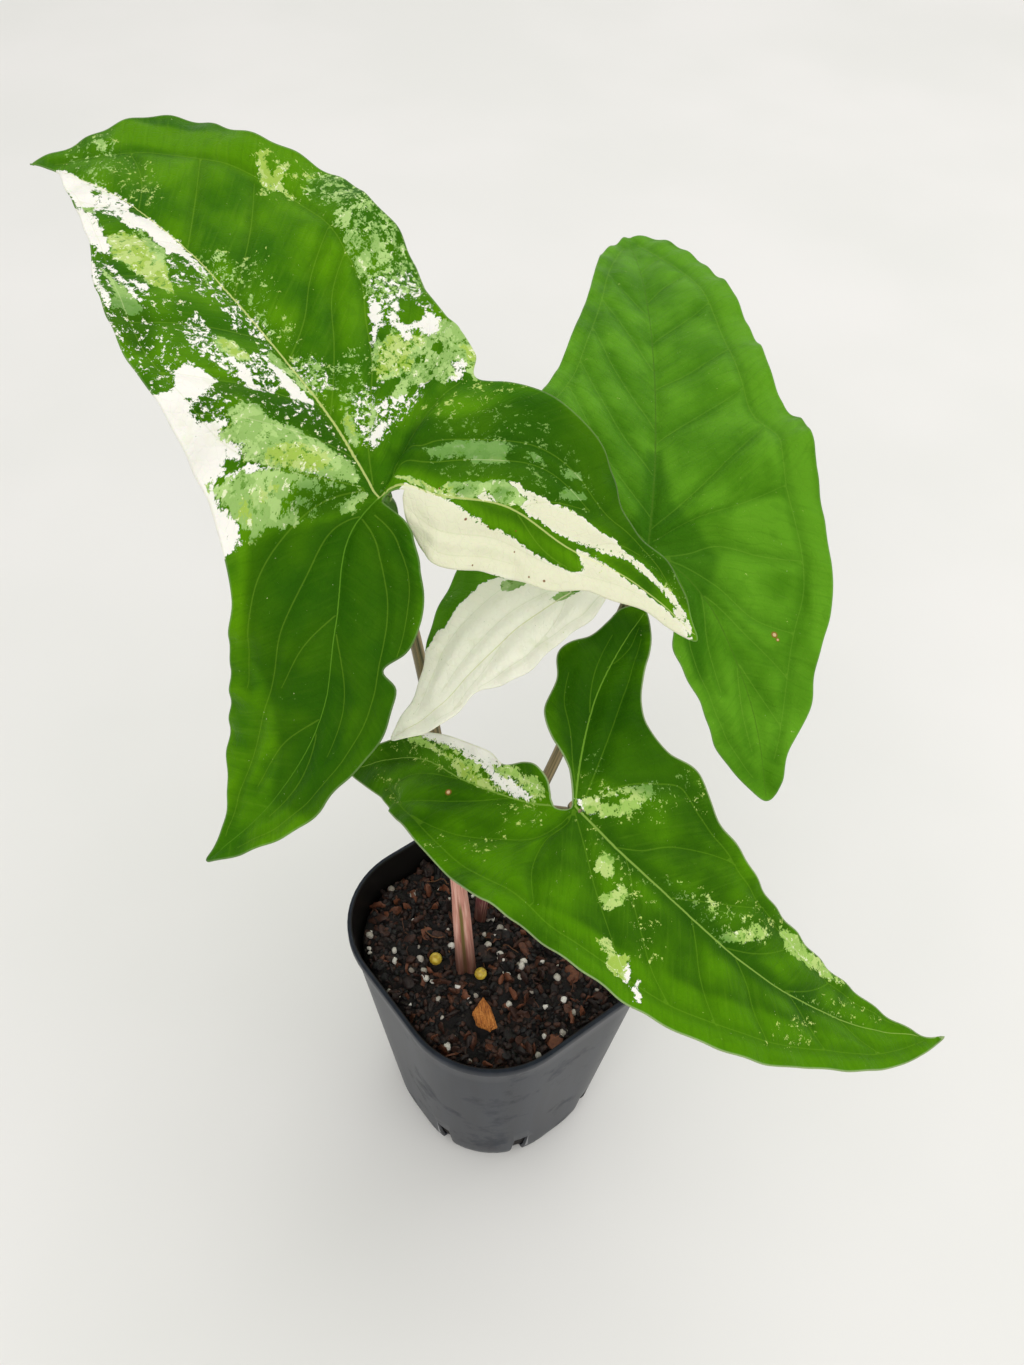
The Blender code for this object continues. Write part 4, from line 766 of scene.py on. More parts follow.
def bend_on_lobe(part, flat):
    """Where flat points lie when the sheet is bent along one lobe's rib and folded at it."""
    rib, length = rib_of(part)
    k = np.arange(len(rib))
    ahead = rib[np.minimum(k + RIB_LOOK, len(rib) - 1)] - rib[np.maximum(k - RIB_LOOK, 0)]
    ahead /= np.linalg.norm(ahead, axis=1)[:, None]
    normal = np.array([0, 0, 1.0]) - ahead * ahead[:, 2:3]
    normal /= np.linalg.norm(normal, axis=1)[:, None]
    leftward = np.cross(normal, ahead)
    along, aside = along_and_aside(part, flat)
    along = along - np.clip(part["lean"] * aside, 0, None) * np.clip(1 - along / LEAN_REACH, 0, 1)
    share = np.clip(along / length, 0, 1)
    place = share * (len(rib) - 1)
    k = np.clip(place.astype(int), 0, len(rib) - 2)
    f = (place - k)[:, None]
    base, forward, left, up = (a[k] * (1 - f) + a[k + 1] * f for a in (rib, ahead, leftward, normal))
    base = base + forward * (along - np.clip(along, 0, length))[:, None]
    is_left = aside >= 0
    fold_joint = np.where(is_left, part["left"][0], part["right"][0])
    fold_tip = np.where(is_left, part["left"][1], part["right"][1])
    fold = np.radians(fold_joint * (1 - share) + fold_tip * share)
    phase = np.where(is_left, 0.0, WAVE_SHIFT)
    wave = WAVE * (aside / WAVE_REACH) ** 2 * np.sin(2 * np.pi * along / WAVE_PITCH + phase)
    across = aside * np.cos(fold)
    rise = np.abs(aside) * np.sin(fold) + wave
    return base + left * across[:, None] + up * rise[:, None]


def lobe_shares(leaf, flat):
    """How much each of the front, left and right lobe has of flat points, by their direction."""
    front, left, right = leaf["front"], leaf["left"], leaf["right"]
    turn_left = left["angle"] - front["angle"]
    turn_right = right["angle"] - front["angle"]
    behind = math.radians(leaf["sinus"]) - front["angle"]
    turn = np.arctan2(flat[:, 1], flat[:, 0]) - front["angle"]
    turn = (turn - behind) % (2 * math.pi) + behind - 2 * math.pi
    share_left = ease((turn - turn_left / 2) / (leaf["web"] * turn_left) + 0.5)
    share_right = ease((turn - turn_right / 2) / (leaf["web"] * turn_right) + 0.5)
    return 1 - share_left - share_right, share_left, share_right


def bend_leaf(leaf, flat):
    """Where flat points of a blade lie in space, in mm."""
    flat = np.asarray(flat, float)
    bent = np.array([leaf["joint"]] * len(flat), float)
    for share, key in zip(lobe_shares(leaf, flat), ("front", "left", "right")):
        bent += share[:, None] * bend_on_lobe(leaf[key], flat)
    return bent


def smooth_outline(corners, step):
    """Points about step apart on a smooth closed curve through the corners."""
    corners = np.asarray(corners, float)
    count = len(corners)
    points = []
    for k in range(count):
        a, b, c, d = (corners[(k + j) % count] for j in (-1, 0, 1, 2))
        pieces = max(1, round(float(np.hypot(*(c - b))) / step))
        for t in np.arange(pieces) / pieces:
            points.append(0.5 * (2 * b + (c - a) * t + (2 * a - 5 * b + 4 * c - d) * t**2
                                 + (3 * b - a - 3 * c + d) * t**3))
    return np.array(points)


def inside(points, outline):
    """True for each point inside the closed outline."""
    result = np.zeros(len(points), bool)
    x, y = points[:, 0], points[:, 1]
    for a, b in zip(outline, np.roll(outline, -1, axis=0)):
        if a[1] != b[1]:
            crosses = (a[1] > y) != (b[1] > y)
            result ^= crosses & (x < a[0] + (y - a[1]) / (b[1] - a[1]) * (b[0] - a[0]))
    return result


def signed_distance(points, corners):
    """Distance of points from a closed outline, positive inside it."""
    corners = np.asarray(corners, float)
    nearest = np.full(len(points), 1e9)
    for a, b in zip(corners, np.roll(corners, -1, axis=0)):
        run = b - a
        share = np.clip(((points - a) @ run) / (run @ run + 1e-9), 0, 1)
        nearest = np.minimum(nearest, np.hypot(*(points - a - share[:, None] * run).T))
    return np.where(inside(points, corners), nearest, -nearest)


def nearest_of(points, others):
    """Distance of each point to the nearest of the others, and which one it is."""
    tree = KDTree(len(others))
    for k, (x, y) in enumerate(others):
        tree.insert((x, y, 0), k)
    tree.balance()
    found = [tree.find((x, y, 0)) for x, y in points]
    return np.array([f[2] for f in found]), np.array([f[1] for f in found])


def flat_lines(leaf):
    """The blade's ribs and side veins on the flat sheet: points, half widths in mm and share along.

    The ribs also have a tone, from 0 for one as green as the blade to 1 for a pale one.
    """
    ribs, veins = [], []
    for key, tone in zip(("front", "left", "right"), leaf["rib_tones"]):
        part = leaf[key]
        length = rib_of(part)[1]
        share = np.linspace(0, 1, int(length / VEIN_STEP))
        heading = np.array([math.cos(part["angle"]), math.sin(part["angle"])])
        points = share[:, None] * length * heading
        ribs.append(np.column_stack([points, part["rib_width"] * (1 - 0.7 * share), share, share * 0 + tone]))
    for corners in leaf["veins"]:
        length = smooth_path(corners, 20)[1]
        points = smooth_path(corners, max(4, int(length / VEIN_STEP)))[0]
        share = np.linspace(0, 1, len(points))
        veins.append(np.column_stack([points, VEIN_WIDTH * (1 - 0.5 * share), share]))
    return np.vstack(ribs), np.vstack(veins)


def sheet_points(leaf, ribs, veins):
    """Outline points of the flat blade, a row just inside it, its ribs and veins, and an even fill."""
    outline = smooth_outline(leaf["outline"], EDGE_STEP)
    run = np.roll(outline, -1, axis=0) - np.roll(outline, 1, axis=0)
    inward = np.stack([-run[:, 1], run[:, 0]], 1) / np.linalg.norm(run, axis=1)[:, None]
    rows = outline + inward * ROW_INSET
    rows = rows[inside(rows, outline) & (nearest_of(rows, outline)[0] > ROW_GAP)]
    for line in (ribs, veins):
        points = line[:, :2]
        points = points[inside(points, outline) & (nearest_of(points, outline)[0] > LINE_INSET)]
        points = points[nearest_of(points, rows)[0] > LINE_GAP]
        keep = np.ones(len(points), bool)
        if line is veins:
            cells = np.unique((points / CELL).round(), axis=0, return_index=True)[1]
            keep[:] = False
            keep[cells] = True
        rows = np.vstack([rows, points[keep]])
    low, high = outline.min(0), outline.max(0)
    fill = np.array([(x + (FILL_STEP / 2 if j % 2 else 0), y)
                     for j, y in enumerate(np.arange(low[1], high[1], FILL_STEP * 0.87))
                     for x in np.arange(low[0], high[0], FILL_STEP)])
    fill = fill[inside(fill, outline)]
    fill = fill[nearest_of(fill, outline)[0] > FILL_INSET]
    fill = fill[nearest_of(fill, rows)[0] > FILL_GAP]
    return outline, np.vstack([outline, rows, fill])


def patch_field(leaf, flat, kind):
    """Field of one kind of patch: 1 inside, -1 outside, and between the two where it breaks into flecks."""
    field = np.full(len(flat), -1.0)
    blur = SMOOTH_BLUR if kind in ("cream_and_shade", "strip") else PATCH_BLUR
    for corners in leaf["marks"].get(kind, []):
        field = np.maximum(field, np.clip(signed_distance(flat, corners) / blur, -1, 1))
    for density, corners in leaf["marks"].get(kind + "_flecks", []):
        zone = ease(signed_distance(flat, corners) / FLECK_ZONE + 0.8)
        field = np.maximum(field, -1 + (0.25 + 0.75 * density) * zone)
    return field


def tint_field(leaf, flat, kind):
    """Strength of a tint from 0 to 1, fading at the edges of its outlines."""
    strength = np.zeros(len(flat))
    for corners in leaf["marks"].get(kind, []):
        strength = np.maximum(strength, ease(signed_distance(flat, corners) / TINT_BLUR[kind] + 0.5))
    return strength


def streak_places(leaf, flat):
    """Coordinates that follow the side veins: where a point's vein leaves the rib, and how far out it is."""
    lanes = {"front": (-30, 30), "left": (30, 60), "right": (-60, -30)}
    places = np.zeros((len(flat), 3))
    for share, key in zip(lobe_shares(leaf, flat), ("front", "left", "right")):
        along, aside = along_and_aside(leaf[key], flat)
        lane = np.where(aside < 0, lanes[key][0], lanes[key][1])
        places += share[:, None] * np.column_stack([along - VEIN_SLANT * np.abs(aside), np.abs(aside), lane])
    return places


def vertex_normals(points, triangles):
    normals = np.zeros_like(points)
    a, b, c = (points[triangles[:, k]] for k in range(3))
    face = np.cross(b - a, c - a)
    for k in range(3):
        np.add.at(normals, triangles[:, k], face)
    return normals / (np.linalg.norm(normals, axis=1)[:, None] + 1e-12)


def bell(distance, width):
    """1 at distance 0, falling off smoothly to almost nothing at twice the width."""
    return np.exp(-(distance / width) ** 2)


def uneven(points, pitch, seed):
    """Smooth noise from -1 to 1 with bumps about pitch mm wide."""
    return np.array([noise.noise(Vector((x / pitch, y / pitch, seed * 7.3))) for x, y in points])


def blade_mesh(name, leaf):
    """A blade with veins sunk in its upper face, standing out below, and quilted between them."""
    ribs, veins = flat_lines(leaf)
    outline, flat = sheet_points(leaf, ribs, veins)
    count = len(outline)
    edges = [(k, (k + 1) % count) for k in range(count)]
    verts, _, faces, *_ = delaunay_2d_cdt([Vector(p) for p in flat], edges, [list(range(count))], 1, 1e-5)
    flat = np.array([v[:] for v in verts])
    triangles = np.array([list(f) for f in faces])
    a, b, c = (flat[triangles[:, k]] for k in range(3))
    turned = (b[:, 0] - a[:, 0]) * (c[:, 1] - a[:, 1]) - (b[:, 1] - a[:, 1]) * (c[:, 0] - a[:, 0]) < 0
    triangles[turned] = triangles[turned][:, ::-1]

    edge, edge_index = nearest_of(flat, outline)
    reach = np.concatenate([[0], np.cumsum(np.linalg.norm(np.diff(outline, axis=0), axis=1))])
    rib, rib_index = nearest_of(flat, ribs[:, :2])
    vein, vein_index = nearest_of(flat, veins[:, :2])
    rib_fade = 1 - ribs[rib_index, 3]
    vein_fade = 1 - 0.6 * veins[vein_index, 3]

    # the sheet is quilted: highest between the veins, with furrows over them
    crown = 1 - 0.6 * bell(vein, 3.0) - 0.4 * bell(vein, 1.3)
    crown *= 1 - 0.6 * bell(rib, 3.2) - 0.4 * bell(rib, 1.4)
    places = streak_places(leaf, flat)
    relief = leaf["quilt"] * (crown - 0.5) * ease(edge / 4)
    relief -= RIB_GROOVE[0] * bell(rib, RIB_GROOVE[1]) * (0.25 + 0.75 * rib_fade)
    relief -= VEIN_GROOVE[0] * bell(vein, VEIN_GROOVE[1]) * vein_fade
    relief += (BROAD_BUMPS[0] * uneven(flat, BROAD_BUMPS[1], 1)
               + FINE_BUMPS[0] * uneven(flat, FINE_BUMPS[1], 2))
    height, width, stretch = PLEATS
    relief += height * uneven(places[:, :2] * (1.0, stretch), width, 3) * ease(edge / 3) * crown
    ruffle = RUFFLE * np.sin(2 * np.pi * reach[edge_index] / RUFFLE_PITCH) * (1 - ease(edge / 7))
    joint = np.hypot(flat[:, 0], flat[:, 1])
    relief += ruffle * ease(joint / 14 - 0.3)

    bent = bend_leaf(leaf, flat)
    normals = vertex_normals(bent, triangles)
    top = bent + normals * relief[:, None]
    normals = vertex_normals(top, triangles)
    thick = EDGE_THICK + (THICK - EDGE_THICK) * ease(edge / 1.4)
    thick += RIB_KEEL[0] * bell(rib, RIB_KEEL[1]) * rib_fade * ease(edge / 2)
    thick += VEIN_KEEL[0] * bell(vein, VEIN_KEEL[1]) * vein_fade * ease(edge / 2)
    thick += JOINT_SWELL[0] * bell(joint, JOINT_SWELL[1]) * ease(edge / 1.2)
    bottom = top - normals * thick[:, None]

    size = len(flat)
    directed = np.vstack([triangles[:, [0, 1]], triangles[:, [1, 2]], triangles[:, [2, 0]]])
    keys = directed[:, 0] * size + directed[:, 1]
    border = directed[~np.isin(keys, directed[:, 1] * size + directed[:, 0])]
    rim = np.column_stack([border[:, 1], border[:, 0], border[:, 0] + size, border[:, 1] + size])
    mesh = bpy.data.meshes.new(name)
    mesh.from_pydata((np.vstack([top, bottom]) * MM).tolist(), [],
                     triangles.tolist() + (triangles[:, ::-1] + size).tolist() + rim.tolist())
    under = np.zeros(len(mesh.polygons), np.int32)
    under[len(triangles):2 * len(triangles)] = 1
    mesh.polygons.foreach_set("material_index", under)
    smooth_shading(mesh)

    white = np.maximum(patch_field(leaf, flat, "white"), patch_field(leaf, flat, "cream_and_shade"))
    pale = np.maximum(patch_field(leaf, flat, "pale"), patch_field(leaf, flat, "strip"))
    # what the finishes read at each point: places and distances in mm, fields, tints and a rib's tone
    fields = {
        "flat": np.column_stack([flat, np.zeros(size)]),
        "streak": places,
        "marks": np.column_stack([white, pale, patch_field(leaf, flat, "green")]),
        "tint": np.column_stack([tint_field(leaf, flat, kind) for kind in ("cream_and_shade", "lime", "deep_and_shade")]),
        "lines": np.column_stack([rib / ribs[rib_index, 2], vein / veins[vein_index, 2], edge]),
        "near": np.column_stack([vein, ribs[rib_index, 4], np.zeros(size)]),
    }
    for key, values in fields.items():
        store(mesh, key, np.vstack([values, values]))
    return mesh


# Finishes of the blades


def painted(tree, base, *layers):
    """Base colour with others laid over it, each where its value passes from low to high.

    A layer is a value, low, high, strength and colour. Colours are hex values or sockets.
    """
    colour = srgb(base) if isinstance(base, str) else base
    for value, low, high, strength, over in layers:
        share = add(tree, "ShaderNodeMapRange", {"Value": value, "From Min": low, "From Max": high,
                                                 "To Max": strength}, interpolation_type="SMOOTHSTEP")
        over = srgb(over) if isinstance(over, str) else over
        colour = add(tree, "ShaderNodeMix", {0: share, 6: colour, 7: over}, 2, data_type="RGBA")
    return colour


def patch_mask(tree, field, vector, seed):
    """1 inside the patches of a field, with jagged edges and flecks of about 1.3 mm."""
    moved = add(tree, "ShaderNodeVectorMath", {0: vector, 1: (0.0, 0.0, seed)}, operation="ADD")
    fine = add(tree, "ShaderNodeTexNoise", {"Vector": moved, "Scale": 0.72, "Detail": 5.0, "Roughness": 0.75},
               "Fac")
    value = add(tree, "ShaderNodeMath", {0: fine, 1: JAG, 2: field}, operation="MULTIPLY_ADD")
    return add(tree, "ShaderNodeMapRange", {"Value": value, "From Min": JAG / 2 - 0.05,
                                            "From Max": JAG / 2 + 0.05}, interpolation_type="SMOOTHSTEP")


def parts_of(tree, name):
    """The three numbers of a vector attribute."""
    vector = add(tree, "ShaderNodeAttribute", out="Vector", attribute_name=name)
    return add(tree, "ShaderNodeSeparateXYZ", {0: vector}, None).outputs


def nearest_speck(tree, flat, specks):
    """Distance to the nearest speck on the flat blade, as a share of its radius."""
    nearest = 9.0
    for x, y, radius in specks:
        away = add(tree, "ShaderNodeVectorMath", {0: flat, 1: (x, y, 0.0)}, "Value", operation="DISTANCE")
        away = add(tree, "ShaderNodeMath", {0: away, 1: radius}, operation="DIVIDE")
        nearest = add(tree, "ShaderNodeMath", {0: away, 1: nearest}, operation="MINIMUM")
    return nearest


def leaf_colour(tree, flat, streak, greens, specks, margin_highlight, hair):
    """Green, cream and grey green parts of a blade with its ribs, veins, margin and scars, and its painted
    light and shade.
    """
    marks, tint, lines, near = (parts_of(tree, key) for key in ("marks", "tint", "lines", "near"))
    grain = add(tree, "ShaderNodeVectorMath", {0: flat, 1: (1 / GRAIN, 1 / GRAIN, 1.0)}, operation="MULTIPLY")
    white = patch_mask(tree, marks[0], grain, 0.0)
    pale = patch_mask(tree, marks[1], grain, 9.0)
    island = patch_mask(tree, marks[2], grain, 18.0)

    # broad shades 15 mm wide, blocks of 4 mm, wisps 0.8 mm wide along the finest veins, mottle of 1.7 mm
    broad = add(tree, "ShaderNodeTexNoise", {"Vector": flat, "Scale": 1 / 15, "Detail": 2.0}, "Fac")
    blocks = add(tree, "ShaderNodeTexNoise", {"Vector": grain, "Scale": 1 / 4.5, "Detail": 3.0}, "Fac")
    wisps = add(tree, "ShaderNodeVectorMath", {0: streak, 1: (1 / 0.8, 1 / 9.0, 1.0)}, operation="MULTIPLY")
    wisps = add(tree, "ShaderNodeTexNoise", {"Vector": wisps, "Scale": 1.0, "Detail": 3.0}, "Fac")
    mottle = add(tree, "ShaderNodeTexNoise", {"Vector": grain, "Scale": 0.55, "Detail": 4.0,
                                              "Roughness": 0.7}, "Fac")
    # the deepest green is the leaf's own darker tone and also serves as painted shade
    deep_and_shade, bright, light = greens["deep_and_shade"], greens["bright"], greens["light"]
    # the green is darkened by painted shade in the furrows along the veins, and by the deep tint, partly
    # deeper green and partly painted shade
    green = painted(tree, greens["dark"], (broad, 0.36, 0.68, 1.0, bright), (tint[1], 0.0, 1.0, 0.9, bright),
                    (blocks, 0.50, 0.64, 0.14, bright), (blocks, 0.46, 0.34, 0.14, deep_and_shade),
                    (wisps, 0.52, 0.68, 0.07, light), (wisps, 0.48, 0.34, 0.07, deep_and_shade),
                    (tint[2], 0.0, 1.0, 0.62, deep_and_shade), (near[0], 2.2, 0.3, 0.25, deep_and_shade),
                    (hair, 0.0, 1.0, 0.07, deep_and_shade), (lines[1], 1.4, 0.6, 0.22, light))

    # pale patches have two or three tones with hard edges, and dark specks
    grey_green = painted(tree, greens["patch"], (blocks, 0.50, 0.53, 1.0, greens["patch_light"]),
                         (mottle, 0.60, 0.62, 0.8, "d9e3b4"))
    light_green = painted(tree, "a0bd50", (blocks, 0.48, 0.51, 1.0, "b9ce78"),
                          (mottle, 0.59, 0.61, 0.9, "e6ecc4"))
    limes = add(tree, "ShaderNodeMath", {0: mottle, 1: 4.0, 2: tint[1]}, operation="MULTIPLY_ADD")
    # the deep tint darkens the pale patches too, partly as painted shade
    patch = painted(tree, grey_green, (limes, 2.44, 2.56, 1.0, light_green),
                    (marks[1], -0.3, -0.5, 0.8, "b9cb68"),
                    (tint[2], 0.0, 1.0, 0.8, "5d8c3e"), (mottle, 0.41, 0.39, 0.8, "5c8c2c"),
                    (lines[1], 1.5, 0.6, 0.35, "c9d89c"))
    # the white turns cream under the cream tint, partly cream tissue and partly painted shade
    blank = painted(tree, "f2efe7", (tint[0], 0.0, 1.0, 1.0, greens["cream_and_shade"]),
                    (blocks, 0.56, 0.70, 0.20, "d9dfb4"), (marks[0], -0.35, -0.55, 0.75, "d3dc92"),
                    (lines[1], 1.4, 0.6, 0.22, "c2cb9a"))
    bare = add(tree, "ShaderNodeMath", {0: white, 1: island}, operation="SUBTRACT", use_clamp=True)
    rib = painted(tree, greens["rib"], (near[1], 0.0, 1.0, 1.0, "c6d07e"), (bare, 0.0, 1.0, 1.0, "e3e4b4"))
    # the pale line along the margin is a painted highlight
    layers = [(white, 0.0, 1.0, 1.0, blank), (pale, 0.0, 1.0, 1.0, patch), (island, 0.0, 1.0, 1.0, green),
              (lines[0], 1.15, 0.6, 0.85, rib), (lines[2], 0.40, 0.12, margin_highlight, "d6dcb2")]
    if specks:
        scar = nearest_speck(tree, flat, specks)
        layers += [(scar, 1.2, 0.8, 0.8, greens["scar"]), (scar, 0.7, 0.4, 0.8, greens["scar_middle"])]
    return painted(tree, green, *layers)


def leaf_finish(name, greens, specks, margin_highlight, under):
    """Living leaf under its cuticle: satin, with sharp-edged variegation that breaks up into fine flecks.

    Where cells lack chlorophyll the blade is white or cream, and where they have little it is grey green. The
    cream is partly painted shade on white that lies in shade.
    """
    made, tree, shader = new_material(name)
    flat = add(tree, "ShaderNodeAttribute", out="Vector", attribute_name="flat")
    streak = add(tree, "ShaderNodeAttribute", out="Vector", attribute_name="streak")
    # the finest veins leave the ribs every 3.2 mm, each a groove 0.4 mm wide
    sway = add(tree, "ShaderNodeTexNoise", {"Vector": flat, "Scale": 1 / 9, "Detail": 1.0}, "Fac")
    lane = add(tree, "ShaderNodeMath", {0: sway, 1: 6.0, 2: add(tree, "ShaderNodeSeparateXYZ", {0: streak})},
               operation="MULTIPLY_ADD")
    lane = add(tree, "ShaderNodeMath", {0: lane, 1: 1.6}, operation="PINGPONG")
    hair = add(tree, "ShaderNodeMapRange", {"Value": lane, "From Min": 0.34, "From Max": 0.10},
               interpolation_type="SMOOTHSTEP")
    colour = leaf_colour(tree, flat, streak, greens, specks, margin_highlight, hair)
    # the lower face is paler
    if under:
        colour = painted(tree, colour, (1.0, 0.0, 1.0, 0.40, "9db587"))

    # cells between the finest veins, 1.6 mm across, and the cuticle's own grain of about 0.3 mm
    net = add(tree, "ShaderNodeTexVoronoi", {"Vector": flat, "Scale": 1 / 1.6}, "Distance",
              feature="DISTANCE_TO_EDGE")
    net = add(tree, "ShaderNodeMapRange", {"Value": net, "From Max": 0.10})
    skin = add(tree, "ShaderNodeTexNoise", {"Vector": flat, "Scale": 1 / 0.3, "Detail": 2.0}, "Fac")
    height = add(tree, "ShaderNodeMath", {0: skin, 1: 0.35, 2: net}, operation="MULTIPLY_ADD")
    height = add(tree, "ShaderNodeMath", {0: hair, 1: -0.7, 2: height}, operation="MULTIPLY_ADD")
    bump = add(tree, "ShaderNodeBump", {"Height": height, "Strength": 0.7, "Distance": 0.00006}, "Normal")
    rough = add(tree, "ShaderNodeMapRange", {"Value": skin, "From Min": 0.3, "From Max": 0.7,
                                             "To Min": 0.62 if under else 0.40,
                                             "To Max": 0.74 if under else 0.54})
    feed(tree, shader, {"Base Color": colour, "Normal": bump, "Roughness": rough, "IOR": 1.42,
                        "Specular IOR Level": 0.12, "Specular Tint": srgb("e6f0a0"),
                        "Subsurface Weight": 0.08, "Subsurface Radius": (0.0006, 0.0012, 0.0003),
                        "Subsurface Scale": 1.0})
    return made


def make_blades():
    greens = {
        "leaf_left": {"deep_and_shade": "1c4a02", "dark": "326703", "bright": "548a02", "light": "84ae30",
                      "rib": "55881a", "cream_and_shade": "e0dfc2", "patch": "94b866", "patch_light": "accb7c",
                      "scar": "8a5526", "scar_middle": "4a2a16"},
        "leaf_right": {"deep_and_shade": "265c04", "dark": "467d0e", "bright": "5c961c", "light": "7cab34",
                       "rib": "3f700a", "cream_and_shade": "fffdea", "patch": "8db263", "patch_light": "a6c380",
                       "scar": "8f5a2a", "scar_middle": "dcc296"},
        "leaf_front": {"deep_and_shade": "1c4a02", "dark": "2f5d02", "bright": "4d8302", "light": "79a828",
                       "rib": "5f9414", "cream_and_shade": "efeed8", "patch": "9cbf5e", "patch_light": "b5cd77",
                       "scar": "8f5a2a", "scar_middle": "dcc296"},
    }
    # strength of the painted highlight along each blade's margin
    margin_highlights = {"leaf_left": 0.12, "leaf_right": 0.08, "leaf_front": 0.35}
    for name, leaf in LEAVES.items():
        finishes = [leaf_finish(name + "_upper_cuticle", greens[name], SPECKS[name], margin_highlights[name], False),
                    leaf_finish(name + "_lower_cuticle", greens[name], [], margin_highlights[name], True)]
        blade = new_object(name + "_blade", blade_mesh(name + "_blade", leaf), finishes)
        ride(blade, "leaf_blade", name)


# Stalks


def blade_normal(leaf):
    """Upward normal of a blade at its stalk joint."""
    probe = bend_leaf(leaf, np.array([(0.0, 1.5), (0.0, -0.8), (-1.5, 0.0), (1.5, 0.0)]))
    normal = np.cross(probe[0] - probe[1], probe[2] - probe[3])
    normal /= np.linalg.norm(normal)
    return normal if normal[2] > 0 else -normal


def tube(name, rings, fields):
    """Closed tube over rings of points in mm, with a vector attribute for each of its points."""
    rings = np.asarray(rings, float)
    rows, sides, _ = rings.shape
    points = np.vstack([rings.reshape(-1, 3), rings[0].mean(0), rings[-1].mean(0)])
    faces = []
    for j in range(rows - 1):
        for k in range(sides):
            a, b = j * sides + k, j * sides + (k + 1) % sides
            faces.append((a, b, b + sides, a + sides))
    last = (rows - 1) * sides
    for k in range(sides):
        faces.append(((k + 1) % sides, k, rows * sides))
        faces.append((last + k, last + (k + 1) % sides, rows * sides + 1))
    mesh = bpy.data.meshes.new(name)
    mesh.from_pydata((points * MM).tolist(), [], faces)
    bm = bmesh.new()
    bm.from_mesh(mesh)
    bmesh.ops.recalc_face_normals(bm, faces=bm.faces)
    bm.to_mesh(mesh)
    bm.free()
    store(mesh, "skin", np.vstack([np.asarray(fields, float).reshape(-1, 3), fields[0][0], fields[-1][0]]))
    smooth_shading(mesh)
    return mesh


def make_stalk(name, stalk, finish):
    """A stalk with the open groove of its sheath at the foot and a slight swelling under the blade."""
    leaf = LEAVES[stalk["leaf"]]
    normal = blade_normal(leaf)
    joint = np.array(leaf["joint"], float)
    end = joint - normal * (BEND_BELOW + stalk["top"] * 0.6)
    path, length = smooth_path(stalk["path"] + [tuple(end), tuple(joint - normal * END_BELOW)], PATH_POINTS)
    count = int(length / STALK_STEP)
    groove = np.array(stalk["groove"], float)
    rings, fields = [], []
    for k in range(count + 1):
        place = k / count * (PATH_POINTS - 1)
        low = min(int(place), PATH_POINTS - 2)
        centre = path[low] + (path[low + 1] - path[low]) * (place - low)
        ahead = path[min(low + 3, PATH_POINTS - 1)] - path[max(low - 3, 0)]
        ahead /= np.linalg.norm(ahead)
        out = groove - ahead * (groove @ ahead)
        out /= np.linalg.norm(out)
        side = np.cross(ahead, out)
        share = k / count
        left_over = (1 - share) * length
        sheath = float(ease((SHEATH_TOP - centre[2]) / SHEATH_FADE))
        radius = stalk["top"] + (stalk["foot"] - stalk["top"]) * (1 - share) ** 2.5
        swelling = SWELLING[0] * math.exp(-((left_over - SWELLING[1]) / SWELLING[2]) ** 2)
        radius *= 1 + swelling + COLLAR[0] * math.exp(-(left_over / COLLAR[1]) ** 2)
        ring, row = [], []
        for j in range(STALK_SIDES):
            turn = 2 * math.pi * j / STALK_SIDES
            away = math.atan2(math.sin(turn), math.cos(turn))
            dent = 1 - GROOVE[0] * sheath * math.exp(-(away / GROOVE[1]) ** 2)
            lip = 1 + LIP[0] * sheath * math.exp(-((abs(away) - LIP[1]) / LIP[2]) ** 2)
            ridges = 1 + 0.012 * math.cos(9 * turn) + 0.008 * math.cos(14 * turn + 1.1)
            reach = radius * dent * lip * ridges
            ring.append(centre + reach * (out * math.cos(turn) * (1 - 0.1 * sheath)
                                          + side * math.sin(turn) * (1 + 0.12 * sheath)))
            row.append((turn * 2.0, centre[2], sheath * math.exp(-(away / 0.30) ** 2)))
        rings.append(ring)
        fields.append(row)
    mesh = tube(name + "_skin", rings, fields)
    stem = new_object(name + "_skin", mesh, [finish])
    ride(stem, "stalk_skin", name)


